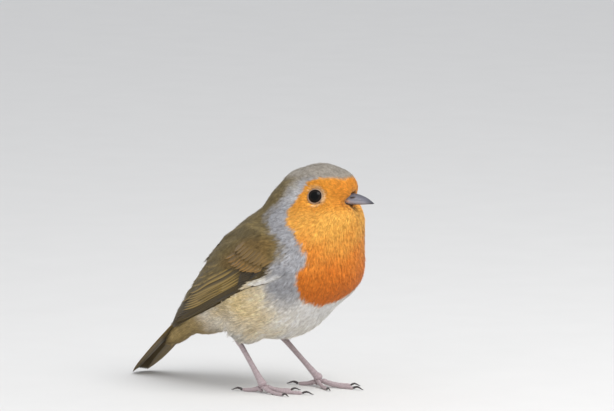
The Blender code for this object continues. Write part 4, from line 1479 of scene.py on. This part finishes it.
def make_stage():
    """The floor, the light and the camera."""
    settings = bpy.context.scene.robin_stage
    scene = bpy.context.scene
    floor = bmesh.new()
    bmesh.ops.create_circle(floor, segments=96, radius=3.0, cap_ends=True)
    mesh = finished(floor, "floor")
    nodes = Nodes("floor", {"Roughness": 0.9, "Specular IOR Level": 0.1})
    pale = (*settings.floor, 1)
    darker = nodes.mix(pale, (0.96, 0.96, 0.96, 1), 1.0, "MULTIPLY")
    nodes.paint(nodes.mix(pale, darker, nodes.noise(40)))
    mesh.materials.append(nodes.material)
    ground = linked("floor", mesh)
    world = bpy.data.worlds.new("studio")
    world.use_nodes = True
    background = world.node_tree.nodes["Background"]
    background.inputs["Color"].default_value = (*settings.sky, 1)
    background.inputs["Strength"].default_value = settings.sky_strength
    scene.world = world
    scene.view_settings.view_transform = "Standard"
    robin = Vector((ORIGIN.x, ORIGIN.y, 45)) * MM
    for name, angles, far, size, power in (
        ("key", (84, 50), 1.3, 0.9, settings.key_power),
        ("fill", (10, 15), 1.6, 1.2, settings.fill_power),
    ):
        light = bpy.data.lights.new(name, "AREA")
        light.shape = "DISK"
        light.size = size
        light.energy = power
        lamp = linked(name, light)
        way = way_at(*angles)
        lamp.location = robin + way * far
        lamp.rotation_euler = way.to_track_quat("Z", "Y").to_euler()
        lamp.visible_glossy = name == "key"
    lens = bpy.data.cameras.new("camera")
    lens.sensor_width = 36
    lens.lens = CAMERA_DISTANCE * 18 / CAMERA_HALF_WIDTH
    lens.clip_end = 20
    camera = linked("camera", lens)
    back = way_at(*CAMERA_ANGLES)
    right = Vector((-back.y, back.x, 0)).normalized()
    up = back.cross(right)
    aim = Vector((ORIGIN.x, ORIGIN.y, 0)) * MM + right * CAMERA_AIM[0] + up * CAMERA_AIM[1]
    camera.location = aim + back * CAMERA_DISTANCE
    camera.rotation_euler = Matrix((right, up, back)).transposed().to_euler()
    scene.camera = camera
    return [ground]


# Operators and panel

def done(made):
    """What an operator returns, or an error where nothing was made."""
    if not made:
        raise RuntimeError("nothing was made")
    return {"FINISHED"}


class ROBIN_OT_skin(bpy.types.Operator):
    """Makes the skin, inside the flesh by the coat's depth"""

    bl_idname = "robin.skin"
    bl_label = "Skin"

    def execute(self, context):
        return done(make_skin())


class ROBIN_OT_coat(bpy.types.Operator):
    """Makes the coat of small feathers, in pieces by tract"""

    bl_idname = "robin.coat"
    bl_label = "Coat"

    def execute(self, context):
        return done(make_coat())


class ROBIN_OT_wings(bpy.types.Operator):
    """Makes the folded wings' flight feathers and coverts, over a core"""

    bl_idname = "robin.wings"
    bl_label = "Wings"

    def execute(self, context):
        return done(make_wings())


class ROBIN_OT_tail(bpy.types.Operator):
    """Makes the twelve tail feathers"""

    bl_idname = "robin.tail"
    bl_label = "Tail"

    def execute(self, context):
        return done(make_tail())


class ROBIN_OT_bill(bpy.types.Operator):
    """Makes both halves of the bill"""

    bl_idname = "robin.bill"
    bl_label = "Bill"

    def execute(self, context):
        return done(make_bill())


class ROBIN_OT_eyes(bpy.types.Operator):
    """Makes the eyeballs and the rims of their lids"""

    bl_idname = "robin.eyes"
    bl_label = "Eyes"

    def execute(self, context):
        return done(make_eyes())


class ROBIN_OT_legs(bpy.types.Operator):
    """Makes the tarsi, toes and claws"""

    bl_idname = "robin.legs"
    bl_label = "Legs"

    def execute(self, context):
        return done(make_legs())


class ROBIN_OT_stage(bpy.types.Operator):
    """Makes the floor, the light and the camera"""

    bl_idname = "robin.stage"
    bl_label = "Stage"

    def execute(self, context):
        return done(make_stage())


STEPS = (
    ROBIN_OT_skin, ROBIN_OT_coat, ROBIN_OT_wings, ROBIN_OT_tail,
    ROBIN_OT_bill, ROBIN_OT_eyes, ROBIN_OT_legs, ROBIN_OT_stage,
)


class ROBIN_PT_panel(bpy.types.Panel):
    """The robin's building steps and its settings"""

    bl_label = "Standing robin"
    bl_idname = "ROBIN_PT_panel"
    bl_space_type = "VIEW_3D"
    bl_region_type = "UI"
    bl_category = "Robin"

    def draw(self, context):
        for operator in STEPS:
            self.layout.operator(operator.bl_idname)
        for name, kind in SETTINGS.items():
            box = self.layout.box()
            box.label(text=name.replace("_", " ").capitalize())
            for entry in kind.__annotations__:
                box.prop(getattr(context.scene, name), entry)


CLASSES = (*SETTINGS.values(), *STEPS, ROBIN_PT_panel)


def register():
    for kind in CLASSES:
        bpy.utils.register_class(kind)
    for name, kind in SETTINGS.items():
        setattr(bpy.types.Scene, name, PointerProperty(type=kind))


def unregister():
    for name in SETTINGS:
        delattr(bpy.types.Scene, name)
    for kind in reversed(CLASSES):
        bpy.utils.unregister_class(kind)


def main():
    """Makes every piece and the stage."""
    register()
    for operator in STEPS:
        getattr(bpy.ops.robin, operator.bl_idname.split(".")[1])()


if __name__ == "__main__":
    main()
